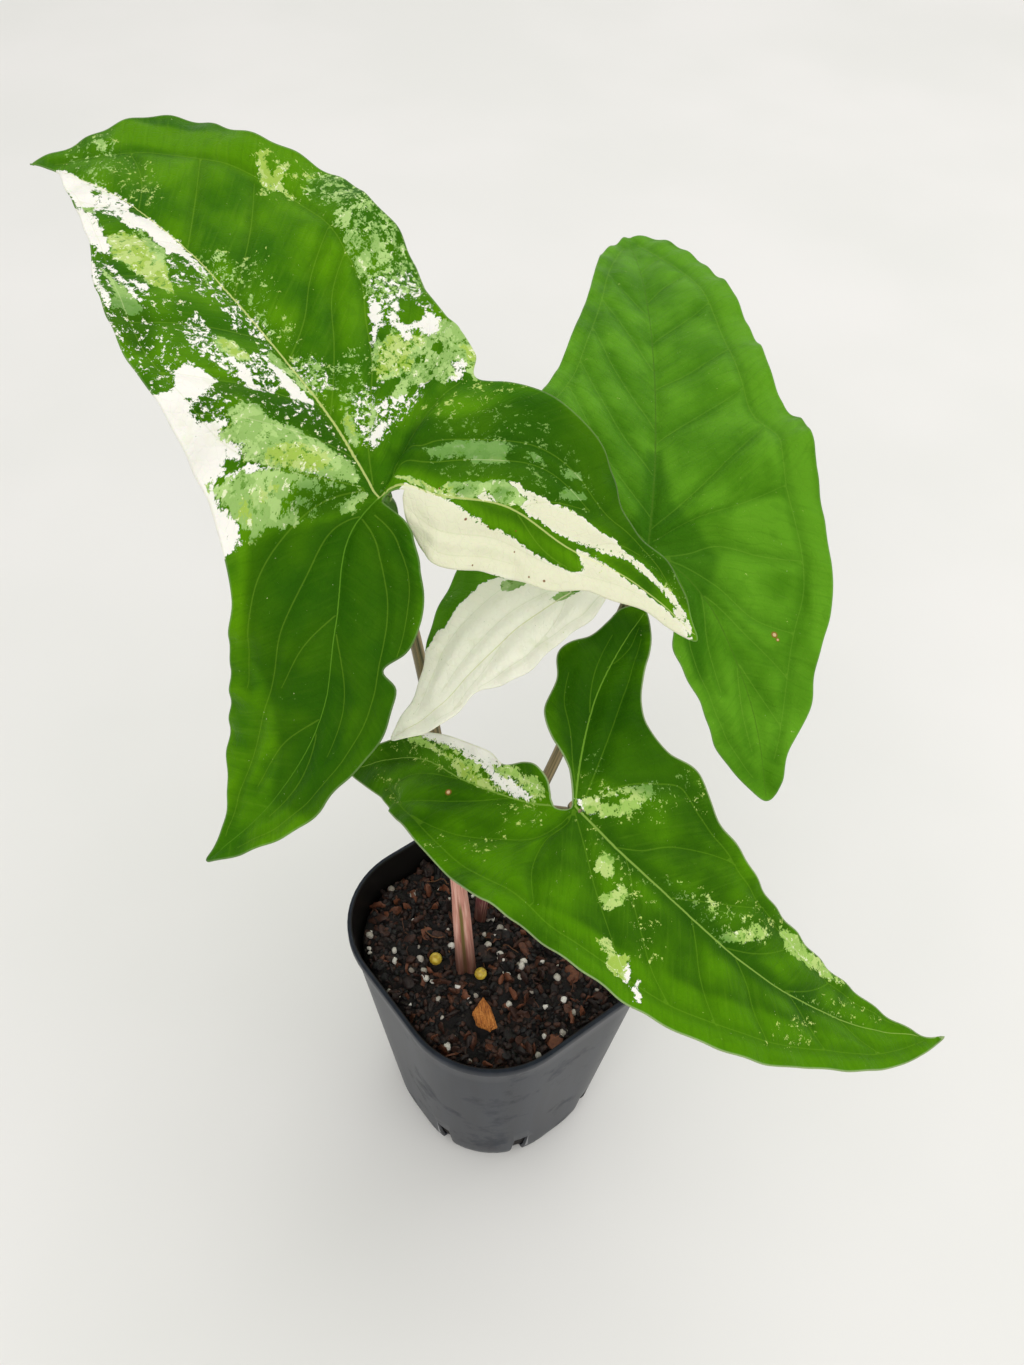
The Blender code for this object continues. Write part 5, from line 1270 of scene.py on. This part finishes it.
def stalk_finish(name, foot_colour):
    """Smooth stalk skin: olive with dark and tan stripes along it, rose at the sheath, satin. The lightest
    tan stripes and the pale rose streaks are painted highlights.
    """
    made, tree, shader = new_material(name)
    skin = add(tree, "ShaderNodeAttribute", out="Vector", attribute_name="skin")
    parts = parts_of(tree, "skin")
    # stripes 1.8 mm wide and 50 mm long, and streaks 0.5 mm wide and 10 mm long
    stretched = add(tree, "ShaderNodeVectorMath", {0: skin, 1: (0.55, 0.02, 0.0)}, operation="MULTIPLY")
    stripes_and_highlights = add(tree, "ShaderNodeTexNoise", {"Vector": stretched, "Scale": 1.0, "Detail": 3.0,
                                               "Roughness": 0.6}, "Fac")
    streaks_and_highlights = add(tree, "ShaderNodeVectorMath", {0: skin, 1: (2.2, 0.10, 0.0)}, operation="MULTIPLY")
    streaks_and_highlights = add(tree, "ShaderNodeTexNoise", {"Vector": streaks_and_highlights, "Scale": 1.0, "Detail": 3.0}, "Fac")
    # the lightest tan stripes, and the pale streaks on the rose, are painted highlights
    olive = painted(tree, "3c4024", (stripes_and_highlights, 0.38, 0.48, 1.0, "6c6548"),
                    (stripes_and_highlights, 0.48, 0.56, 1.0, "93805c"), (stripes_and_highlights, 0.56, 0.68, 1.0, "ac9670"))
    rose = painted(tree, foot_colour, (streaks_and_highlights, 0.48, 0.62, 0.9, "e2b4a2"),
                   (streaks_and_highlights, 0.46, 0.34, 0.7, "9c5f55"))
    # olive groove, earth brown where the stalk enters the mix, green under the highest blade
    colour = painted(tree, olive, (parts[1], 118.0, 100.0, 1.0, rose), (parts[2], 0.2, 0.8, 0.9, "6f6a2c"),
                     (parts[1], 88.0, 74.0, 0.9, "4e3024"), (parts[1], 178.0, 190.0, 0.9, "4a7a1c"))
    bump = add(tree, "ShaderNodeBump", {"Height": streaks_and_highlights, "Strength": 0.5, "Distance": 0.00008}, "Normal")
    feed(tree, shader, {"Base Color": colour, "Normal": bump, "Roughness": 0.42, "IOR": 1.43,
                        "Specular IOR Level": 0.35})
    return made


def make_stalks():
    finishes = {"stalk_left": stalk_finish("rose_footed_stalk_skin", "cf9484"),
                "stalk_right": stalk_finish("olive_stalk_skin", "a96f68"),
                "stalk_front": stalk_finish("magenta_footed_stalk_skin", "8e4f55")}
    for name, stalk in STALKS.items():
        make_stalk(name, stalk, finishes[name])


# Pot


def round_square(side, corner, z, steps, straight=1):
    """Points of a square with round corners, anticlockwise from its right side."""
    points = []
    inset = side / 2 - corner
    for quarter in range(4):
        sx = 1 if quarter in (0, 3) else -1
        sy = 1 if quarter in (0, 1) else -1
        for step in range(steps + 1):
            turn = math.radians(90 * (quarter + step / steps))
            points.append((sx * inset + corner * math.cos(turn), sy * inset + corner * math.sin(turn), z))
        first = Vector(points[-1])
        turn = math.radians(90 * (quarter + 1))
        nx = 1 if (quarter + 1) % 4 in (0, 3) else -1
        ny = 1 if (quarter + 1) % 4 in (0, 1) else -1
        last = Vector((nx * inset + corner * math.cos(turn), ny * inset + corner * math.sin(turn), z))
        points += [tuple(first.lerp(last, k / straight)) for k in range(1, straight)]
    return points


def loft(name, rings):
    """Closed skin over rings of equally many points, with a flat face at each end."""
    bm = bmesh.new()
    rows = [[bm.verts.new(point) for point in ring] for ring in rings]
    count = len(rows[0])
    for low, high in zip(rows, rows[1:]):
        for k in range(count):
            bm.faces.new((low[k], low[(k + 1) % count], high[(k + 1) % count], high[k]))
    bm.faces.new(list(reversed(rows[0])))
    bm.faces.new(rows[-1])
    bmesh.ops.recalc_face_normals(bm, faces=bm.faces)
    return mesh_of(bm, name)


def pot_side(z):
    """Outer width of the pot's wall at a height."""
    side = POT_BASE_SIDE + (POT_TOP_SIDE - 2 * RIM_STEP - POT_BASE_SIDE) * z / POT_HEIGHT
    foot = max(0.0, 1 - z / FOOT_HEIGHT)
    return side - FOOT_TUCK * foot * foot


def pot_rings():
    """Rings of the pot: up the outside, over the rounded lip and down the inside."""
    band = POT_HEIGHT - RIM_BAND
    rings = []
    for z in (0.0, 0.0003, 0.0008, 0.0015, 0.003, 0.0045, 0.006, 0.012, 0.02, 0.03, 0.04, 0.05, 0.06, 0.07,
              band):
        tuck = 0.0005 if z == 0.0 else 0.0001 if z == 0.0003 else 0.0
        rings.append(round_square(pot_side(z) - 2 * tuck, POT_CORNER - tuck, z, CORNER_STEPS, SIDE_STEPS))
    for inset, z in ((0.00035, band + 0.0001), (0.00006, band + 0.0003), (0.0, band + 0.0006),
                     (0.0, POT_HEIGHT - 0.0004), (0.0001, POT_HEIGHT - 0.0001), (0.0004, POT_HEIGHT),
                     (0.0009, POT_HEIGHT), (0.0012, POT_HEIGHT - 0.0002)):
        rings.append(round_square(POT_TOP_SIDE - 2 * inset, POT_CORNER + RIM_STEP - inset, z, CORNER_STEPS,
                                  SIDE_STEPS))
    for z in (band, 0.07, 0.055, 0.03, 0.0045, FLOOR):
        rings.append(round_square(pot_side(z) - 2 * WALL, POT_CORNER - WALL, z, CORNER_STEPS, SIDE_STEPS))
    return rings


def slot_cutter():
    """The boxes of all the drain slots in one mesh."""
    bm = bmesh.new()
    for quarter in range(4):
        for side in (-1, 1):
            turn = Matrix.Rotation(math.radians(90 * quarter), 4, "Z")
            size = Matrix.Diagonal((0.009, SLOT_WIDTH, SLOT_HEIGHT * 2, 1))
            place = Matrix.Translation((POT_BASE_SIDE / 2 - 0.0015, side * SLOT_FROM_MIDDLE, 0))
            bmesh.ops.create_cube(bm, size=1.0, matrix=turn @ place @ size)
    return new_object("slots", mesh_of(bm, "slots"), [])


def pot_finish():
    """Thin moulded polypropylene: dark grey, satin, with faint flow marks, dusty scuffs and worn slot edges,
    and painted shade darkening its inner wall.
    """
    made, tree, shader = new_material("grey_polypropylene")
    place = add(tree, "ShaderNodeTexCoord", out="Object")
    # dust in clouds of 14 mm, flow marks 4 mm wide and 70 mm tall, and a moulding grain of about 0.6 mm
    dust = add(tree, "ShaderNodeTexNoise", {"Vector": place, "Scale": 70.0, "Detail": 5.0,
                                            "Roughness": 0.65}, "Fac")
    dust = add(tree, "ShaderNodeMapRange", {"Value": dust, "From Min": 0.56, "From Max": 0.80,
                                            "To Max": 0.30})
    tall = add(tree, "ShaderNodeVectorMath", {0: place, 1: (260.0, 260.0, 14.0)}, operation="MULTIPLY")
    flow = add(tree, "ShaderNodeTexNoise", {"Vector": tall, "Scale": 1.0, "Detail": 2.0}, "Fac")
    wear_and_shade = parts_of(tree, "wear_and_shade")
    # the slots' edges are worn grey, and the inner wall is painted near black as shade
    colour = painted(tree, "20242c", (flow, 0.35, 0.65, 1.0, "262b34"), (dust, 0.0, 1.0, 0.6, "60646b"),
                     (wear_and_shade[1], 0.0, 1.0, 1.0, "181614"), (wear_and_shade[0], 0.0, 1.0, 1.0, "8d8e90"))
    fine = add(tree, "ShaderNodeTexNoise", {"Vector": place, "Scale": 1800.0, "Detail": 2.0}, "Fac")
    height = add(tree, "ShaderNodeMath", {0: flow, 1: 0.9, 2: fine}, operation="MULTIPLY_ADD")
    bump = add(tree, "ShaderNodeBump", {"Height": height, "Strength": 0.35, "Distance": 0.00003}, "Normal")
    rough = add(tree, "ShaderNodeMapRange", {"Value": dust, "From Max": 0.3, "To Min": 0.34, "To Max": 0.62})
    feed(tree, shader, {"Base Color": colour, "Normal": bump, "Roughness": rough, "IOR": 1.49,
                        "Specular IOR Level": 0.16})
    return made


def make_pot():
    pot = new_object("nursery_pot", loft("nursery_pot", pot_rings()), [pot_finish()])
    slots = slot_cutter()
    cut = pot.modifiers.new("Slots", "BOOLEAN")
    cut.object = slots
    cut.solver = "EXACT"
    settle(pot)
    bpy.data.objects.remove(slots, do_unlink=True)
    edge = pot.modifiers.new("Edges", "BEVEL")
    edge.width = EDGE_ROUND
    edge.segments = 2
    edge.limit_method = "ANGLE"
    edge.angle_limit = math.radians(70)
    edge.material = -1
    settle(pot)
    mark_wear_and_shade(pot.data)
    smooth_shading(pot.data, 40)
    ride(pot, "pot_plastic", "pot")


def mark_wear_and_shade(mesh):
    """Face attribute: 1 in x on the worn edges of the drain slots, 1 in y on the inner wall, which is painted
    dark as shade.
    """
    layer = mesh.attributes.new("wear_and_shade", "FLOAT_VECTOR", "FACE")
    for face in mesh.polygons:
        x, y, z = face.center
        across = min(abs(x), abs(y)) - SLOT_FROM_MIDDLE
        beside = abs(abs(across) - SLOT_WIDTH / 2) < NEAR_EDGE and z < SLOT_HEIGHT + NEAR_EDGE
        above = abs(across) < SLOT_WIDTH / 2 + NEAR_EDGE and abs(z - SLOT_HEIGHT) < NEAR_EDGE
        outside = max(abs(x), abs(y)) > pot_side(z) / 2 - 0.0008
        worn = 0.8 if (beside or above) and outside and face.area < 2e-6 else 0.0
        # the inner wall, inside the pot where shade falls, gets painted shade
        inner_shade = 0.9 if face.normal.x * x + face.normal.y * y < -0.3 * math.hypot(x, y) else 0.0
        layer.data[face.index].vector = (worn, inner_shade, 0.0)


# Potting mix


def soil_height(x, y):
    """Height of the lumpy soil surface, as in the CAD."""
    lumps = math.sin(x * 610 + 0.7) * math.cos(y * 540 - 0.4) + 0.6 * math.sin(x * 1310 + y * 1170)
    mound = 0.0016 * math.exp(-((x + 0.009) ** 2 + (y + 0.004) ** 2) / 0.012 ** 2)
    return SOIL_LEVEL + LUMP * lumps * 0.6 + mound - 0.0012 * (x + y) / 0.05


def crumbled(x, y):
    """Height of the crumbly surface: the CAD's lumps with clods of 4 mm and crumbs of 1 mm on them."""
    clods = noise.noise(Vector((x / 0.0045, y / 0.0045, 3.1)))
    crumbs = noise.noise(Vector((x / 0.0015, y / 0.0015, 8.7)))
    return soil_height(x, y) + 0.0009 * clods + 0.0004 * crumbs - 0.0003


def soil_rings():
    """Rings of the soil, from the pot's floor up its wall and in over the surface."""
    gap = 2 * (WALL + SOIL_GAP) + SOIL_GAP
    corner = POT_CORNER - WALL - SOIL_GAP
    steps = SOIL_SIDES - SOIL_STRAIGHT
    rings = []
    for z in (FLOOR + SOIL_GAP, 0.0046, 0.03, 0.055):
        rings.append(round_square(pot_side(z) - gap, corner, z, steps, SOIL_STRAIGHT))
    rim = round_square(pot_side(SOIL_RIM) - gap, corner, 0, steps, SOIL_STRAIGHT)
    for step in range(SOIL_RINGS):
        share = 1 - step / SOIL_RINGS * 0.985
        edge = 0.0016 if step == 0 else 0.0005 if step == 1 else 0.0
        rings.append([(x * share, y * share, crumbled(x * share, y * share) - edge) for x, y, _ in rim])
    return rings


def keep_free(x, y):
    """0 under the stalks, the prills and the bark chip, and 1 elsewhere."""
    spots = []
    for stalk in STALKS.values():
        (ax, ay, az), (bx, by, bz) = stalk["path"][:2]
        share = (SOIL_LEVEL / MM - az) / (bz - az)
        spots.append((ax + (bx - ax) * share, ay + (by - ay) * share, stalk["foot"] + SPARE))
    spots += [(px, py, size + SPARE) for px, py, size in PRILLS.values()]
    spots += [(CHIP["place"][0], CHIP["place"][1], CHIP_REACH)]
    return 0.0 if any(math.hypot(x / MM - a, y / MM - b) < r for a, b, r in spots) else 1.0


def soil_finish():
    """Moist peat and bark: near black with brown crumbs and fibres, matte."""
    made, tree, shader = new_material("peat_and_bark_mix")
    place = add(tree, "ShaderNodeTexCoord", out="Object")
    # crumbs of about 2.4 mm
    crumbs = add(tree, "ShaderNodeTexNoise", {"Vector": place, "Scale": 420.0, "Detail": 5.0,
                                              "Roughness": 0.7}, "Fac")
    ramp = add(tree, "ShaderNodeValToRGB", {0: crumbs}, None)
    set_stops(ramp, [(0.40, "070404"), (0.58, "150c09"), (0.74, "40261a")])
    bump = add(tree, "ShaderNodeBump", {"Height": crumbs, "Strength": 0.9, "Distance": 0.0006}, "Normal")
    feed(tree, shader, {"Base Color": ramp.outputs[0], "Normal": bump, "Roughness": 0.86})
    return made


def grain_finish(name, colours, roughness, pitch_mm):
    """Loose grain of the mix: its own shade from the shade attribute, mottled at pitch_mm."""
    made, tree, shader = new_material(name)
    place = add(tree, "ShaderNodeTexCoord", out="Object")
    mottle = add(tree, "ShaderNodeTexNoise", {"Vector": place, "Scale": 1000 / pitch_mm, "Detail": 3.0,
                                              "Roughness": 0.65}, "Fac")
    shade = add(tree, "ShaderNodeAttribute", out="Fac", attribute_name="shade")
    blend = add(tree, "ShaderNodeMath", {0: mottle, 1: 0.6, 2: -0.3}, operation="MULTIPLY_ADD")
    blend = add(tree, "ShaderNodeMath", {0: blend, 1: shade}, operation="ADD", use_clamp=True)
    ramp = add(tree, "ShaderNodeValToRGB", {0: blend}, None)
    set_stops(ramp, [(k / (len(colours) - 1), colour) for k, colour in enumerate(colours)])
    bump = add(tree, "ShaderNodeBump", {"Height": mottle, "Strength": 0.8, "Distance": 0.0002}, "Normal")
    feed(tree, shader, {"Base Color": ramp.outputs[0], "Normal": bump, "Roughness": roughness})
    return made


def scatter_tree(name, finish, seed, stretch_range, long):
    """Geometry Nodes tree that strews grains or fibres over a surface where its free attribute is 1."""
    tree = bpy.data.node_groups.new(name, "GeometryNodeTree")
    tree.interface.new_socket("Geometry", in_out="INPUT", socket_type="NodeSocketGeometry")
    for value in ("Density", "Smallest", "Largest", "Rise"):
        tree.interface.new_socket(value, in_out="INPUT", socket_type="NodeSocketFloat")
    tree.interface.new_socket("Geometry", in_out="OUTPUT", socket_type="NodeSocketGeometry")
    given = add(tree, "NodeGroupInput", out=None).outputs
    free = add(tree, "GeometryNodeInputNamedAttribute", {"Name": "free"}, data_type="FLOAT")
    density = add(tree, "ShaderNodeMath", {0: given["Density"], 1: free}, operation="MULTIPLY")
    points = add(tree, "GeometryNodeDistributePointsOnFaces", {"Mesh": given["Geometry"],
                                                              "Density": density, "Seed": seed})
    lift = add(tree, "ShaderNodeCombineXYZ", {2: given["Rise"]})
    points = add(tree, "GeometryNodeSetPosition", {"Geometry": points, "Offset": lift})
    size = add(tree, "FunctionNodeRandomValue", {"Min": given["Smallest"], "Max": given["Largest"],
                                                 "Seed": seed + 1}, 1)
    stretch = add(tree, "FunctionNodeRandomValue", {0: stretch_range[0], 1: stretch_range[1],
                                                    "Seed": seed + 2}, data_type="FLOAT_VECTOR")
    scale = add(tree, "ShaderNodeVectorMath", {0: stretch, "Scale": size}, operation="SCALE")
    tilt = 0.35 if long else math.pi
    turn = add(tree, "FunctionNodeRandomValue", {0: (-tilt, -tilt, -math.pi), 1: (tilt, tilt, math.pi),
                                                 "Seed": seed + 3}, data_type="FLOAT_VECTOR")
    if long:
        source = add(tree, "GeometryNodeCurveArc", {"Resolution": 9, "Radius": 1.0, "Sweep Angle": 1.3})
    else:
        source = add(tree, "GeometryNodeMeshIcoSphere", {"Radius": 0.5, "Subdivisions": 2})
    grains = add(tree, "GeometryNodeInstanceOnPoints", {"Points": points, "Instance": source,
                                                       "Rotation": turn, "Scale": scale})
    shade = add(tree, "FunctionNodeRandomValue", {"Seed": seed + 4}, 1)
    grains = add(tree, "GeometryNodeStoreNamedAttribute", {"Geometry": grains, "Name": "shade",
                                                          "Value": shade}, domain="INSTANCE",
                 data_type="FLOAT")
    grains = add(tree, "GeometryNodeRealizeInstances", {"Geometry": grains})
    place = add(tree, "GeometryNodeInputPosition")
    # uneven at 1.4 mm, and the fibres at 4 mm
    dents = add(tree, "ShaderNodeTexNoise", {"Vector": place, "Scale": 260.0 if long else 700.0,
                                             "Detail": 1.0}, "Color")
    dents = add(tree, "ShaderNodeVectorMath", {0: dents, 1: (-0.5, -0.5, -0.5)}, operation="ADD")
    amount = add(tree, "ShaderNodeMath", {0: given["Largest"], 1: 0.5}, operation="MULTIPLY")
    dents = add(tree, "ShaderNodeVectorMath", {0: dents, "Scale": amount}, operation="SCALE")
    grains = add(tree, "GeometryNodeSetPosition", {"Geometry": grains, "Offset": dents})
    if long:
        profile = add(tree, "GeometryNodeCurvePrimitiveCircle", {"Resolution": 5, "Radius": 0.00011})
        grains = add(tree, "GeometryNodeCurveToMesh", {"Curve": grains, "Profile Curve": profile,
                                                      "Fill Caps": True})
    grains = add(tree, "GeometryNodeSetMaterial", {"Geometry": grains, "Material": finish})
    add(tree, "NodeGroupOutput", {0: grains}, None)
    return tree


def scatter(name, emitter, grains):
    """Strews one kind of grain over the soil surface and keeps the result as a plain mesh."""
    tree = scatter_tree(name + "_scatter", grain_finish(*grains["finish"]), grains["seed"], grains["stretch"],
                        name == "fibres")
    piece = bpy.data.objects.new(name, emitter.copy())
    bpy.context.scene.collection.objects.link(piece)
    modifier = piece.modifiers.new("Scatter", "NODES")
    modifier.node_group = tree
    values = {"Density": grains["density"], "Smallest": grains["size"][0], "Largest": grains["size"][1],
              "Rise": grains["rise"]}
    for item in tree.interface.items_tree:
        if item.in_out == "INPUT" and item.name in values:
            modifier[item.identifier] = values[item.name]
    settle(piece)
    smooth_shading(piece.data, 60)
    ride(piece, "potting_mix")


def soil_emitter(mesh, margin):
    """Copy of the soil's upper faces with the free attribute, margin away from the wall."""
    bm = bmesh.new()
    bm.from_mesh(mesh)
    reach = pot_side(0.07) / 2 - WALL
    doomed = []
    for face in bm.faces:
        x, y, z = face.calc_center_median()
        corner = math.hypot(max(abs(x) - (reach - POT_CORNER), 0), max(abs(y) - (reach - POT_CORNER), 0))
        if z < SOIL_RIM or corner > POT_CORNER - margin:
            doomed.append(face)
    bmesh.ops.delete(bm, geom=doomed, context="FACES")
    emitter = mesh_of(bm, "soil_emitter")
    layer = emitter.attributes.new("free", "FLOAT", "POINT")
    for vert in emitter.vertices:
        layer.data[vert.index].value = keep_free(vert.co.x, vert.co.y)
    return emitter


def make_soil():
    mesh = loft("potting_mix", soil_rings())
    smooth_shading(mesh)
    soil = new_object("potting_mix", mesh, [soil_finish()])
    to_wall = soil_emitter(mesh, GRAIN_MARGIN)
    middle = soil_emitter(mesh, FIBRE_MARGIN)
    ride(soil, "potting_mix", "soil")
    for name, grains in GRAINS.items():
        scatter(name, middle if name == "fibres" else to_wall, grains)
    bpy.data.meshes.remove(to_wall)
    bpy.data.meshes.remove(middle)


# Prills and bark chip


def prill_finish():
    """Resin-coated fertiliser: translucent yellow shell, satin, slightly dusty."""
    made, tree, shader = new_material("resin_coated_prill")
    place = add(tree, "ShaderNodeTexCoord", out="Object")
    # cloudy at about 1 mm
    mottle = add(tree, "ShaderNodeTexNoise", {"Vector": place, "Scale": 900.0, "Detail": 3.0}, "Fac")
    bump = add(tree, "ShaderNodeBump", {"Height": mottle, "Strength": 0.5, "Distance": 0.0001}, "Normal")
    feed(tree, shader, {"Base Color": painted(tree, "b08f22", (mottle, 0.35, 0.65, 1.0, "dcc24e")),
                        "Normal": bump, "Roughness": 0.33, "Subsurface Weight": 0.15,
                        "Subsurface Radius": (0.0010, 0.0006, 0.0002), "Subsurface Scale": 1.0})
    return made


def make_prills():
    finish = prill_finish()
    for name, (x, y, radius) in PRILLS.items():
        low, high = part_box(name)
        centre = (low + high) / 2
        bm = bmesh.new()
        bmesh.ops.create_icosphere(bm, subdivisions=5, radius=radius * MM)
        for vert in bm.verts:
            spot = vert.co.normalized()
            vert.co *= 1 + 0.03 * noise.noise(spot * 1.6 + Vector((x, y, 0))) + 0.012 * noise.noise(spot * 6)
        bm.transform(Matrix.Translation(centre))
        mesh = mesh_of(bm, name + "_shell")
        smooth_shading(mesh)
        ride(new_object(name + "_shell", mesh, [finish]), "fertiliser_prill", name)


def bark_finish():
    """Pine bark flake: orange brown, split in fibrous layers along its length."""
    made, tree, shader = new_material("pine_bark")
    # fibres 0.4 mm wide and 3 mm long, in mm along the grain attribute
    grain_way = add(tree, "ShaderNodeAttribute", out="Vector", attribute_name="grain")
    stretched = add(tree, "ShaderNodeVectorMath", {0: grain_way, 1: (2.4, 0.35, 2.4)}, operation="MULTIPLY")
    fibres = add(tree, "ShaderNodeTexNoise", {"Vector": stretched, "Scale": 1.0, "Detail": 4.0,
                                              "Roughness": 0.65}, "Fac")
    ramp = add(tree, "ShaderNodeValToRGB", {0: fibres}, None)
    set_stops(ramp, [(0.32, "6b3510"), (0.5, "b36a26"), (0.70, "dc9448")])
    bump = add(tree, "ShaderNodeBump", {"Height": fibres, "Strength": 0.9, "Distance": 0.0003}, "Normal")
    feed(tree, shader, {"Base Color": ramp.outputs[0], "Normal": bump, "Roughness": 0.78})
    return made


def make_chip():
    """The flake of bark on the soil, in thin torn layers."""
    low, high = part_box("bark_chip")
    thick = CHIP["thick"] * MM
    corners = np.array(CHIP["outline"])
    # three points near each corner keep it sharp
    close = np.stack([corners * 0.88 + np.roll(corners, 1, axis=0) * 0.12, corners,
                      corners * 0.88 + np.roll(corners, -1, axis=0) * 0.12], 1).reshape(-1, 2)
    edge = smooth_outline(close, 0.3)
    way = np.array([math.cos(math.radians(CHIP["fibres"])), math.sin(math.radians(CHIP["fibres"]))])
    rings = []
    # each ring's share of the outline and its height as a share of the thickness
    for s, h in ((0.5, -0.5), (0.86, -0.48), (0.97, -0.25), (1.0, -0.1), (0.98, 0.1), (0.93, 0.12),
                 (0.92, 0.35), (0.80, 0.38), (0.76, 0.5), (0.5, 0.46), (0.2, 0.5)):
        ring = []
        for x, y in edge:
            lengthwise, across = x * way[0] + y * way[1], y * way[0] - x * way[1]
            torn = 1 + 0.10 * noise.noise(Vector((x * 1.3, y * 1.3, h * 9)))
            fibre = 0.30 * noise.noise(Vector((across * 1.9, lengthwise * 0.25, h * 2)))
            ring.append((x * s * torn * MM, y * s * torn * MM, h * thick + fibre * MM * (1 if h > 0 else 0)))
        rings.append(ring)
    mesh = loft("bark_flake", rings)
    places = [vert.co / MM for vert in mesh.vertices]
    store(mesh, "grain", [(y * way[0] - x * way[1], x * way[0] + y * way[1], z) for x, y, z in places])
    place = Vector((CHIP["place"][0] * MM, CHIP["place"][1] * MM, ((low + high) / 2)[2]))
    mesh.transform(Matrix.Translation(place))
    smooth_shading(mesh, 35)
    ride(new_object("bark_flake", mesh, [bark_finish()]), "bark", "bark_chip")


# Floor, light and camera


def make_floor():
    bm = bmesh.new()
    bmesh.ops.create_grid(bm, x_segments=1, y_segments=1, size=FLOOR_HALF)
    made, tree, shader = new_material("matt_white_board")
    place = add(tree, "ShaderNodeTexCoord", out="Object")
    # its shade changes a little over 170 mm
    cloud = add(tree, "ShaderNodeTexNoise", {"Vector": place, "Scale": 6.0, "Detail": 3.0}, "Fac")
    feed(tree, shader, {"Base Color": painted(tree, "e7e6e2", (cloud, 0.3, 0.7, 1.0, "eceae7")),
                        "Roughness": 0.8})
    new_object("floor", mesh_of(bm, "floor"), [made])


def add_light(name, place, target, size, power):
    light = bpy.data.lights.new(name, "AREA")
    light.shape = "DISK"
    light.size = size
    light.energy = power
    lamp = bpy.data.objects.new(name, light)
    lamp.location = place
    lamp.rotation_euler = (Vector(target) - Vector(place)).to_track_quat("-Z", "Y").to_euler()
    bpy.context.scene.collection.objects.link(lamp)


def make_light():
    world = bpy.data.worlds.new("studio")
    world.use_nodes = True
    sky = world.node_tree.nodes["Background"]
    sky.inputs["Color"].default_value = srgb(SKY_COLOUR)
    sky.inputs["Strength"].default_value = SKY_STRENGTH
    bpy.context.scene.world = world
    for name, (place, target, size, power) in LIGHTS.items():
        add_light(name, place, target, size, power)
    bpy.context.scene.view_settings.view_transform = "Standard"
    bpy.context.scene.view_settings.look = "None"


def make_camera():
    camera = bpy.data.cameras.new("camera")
    camera.lens = CAMERA_LENS
    camera.sensor_width = CAMERA_SENSOR
    camera.clip_start = 0.01
    right, up = Vector(CAMERA_RIGHT).normalized(), Vector(CAMERA_UP).normalized()
    back = right.cross(up)
    holder = bpy.data.objects.new("camera", camera)
    turn = Matrix((right, up, back)).transposed().to_4x4()
    holder.matrix_world = Matrix.Translation(CAMERA_PLACE) @ turn
    bpy.context.scene.collection.objects.link(holder)
    bpy.context.scene.camera = holder


make_floor()
make_light()
make_camera()
make_pot()
make_soil()
make_prills()
make_chip()
make_stalks()
make_blades()
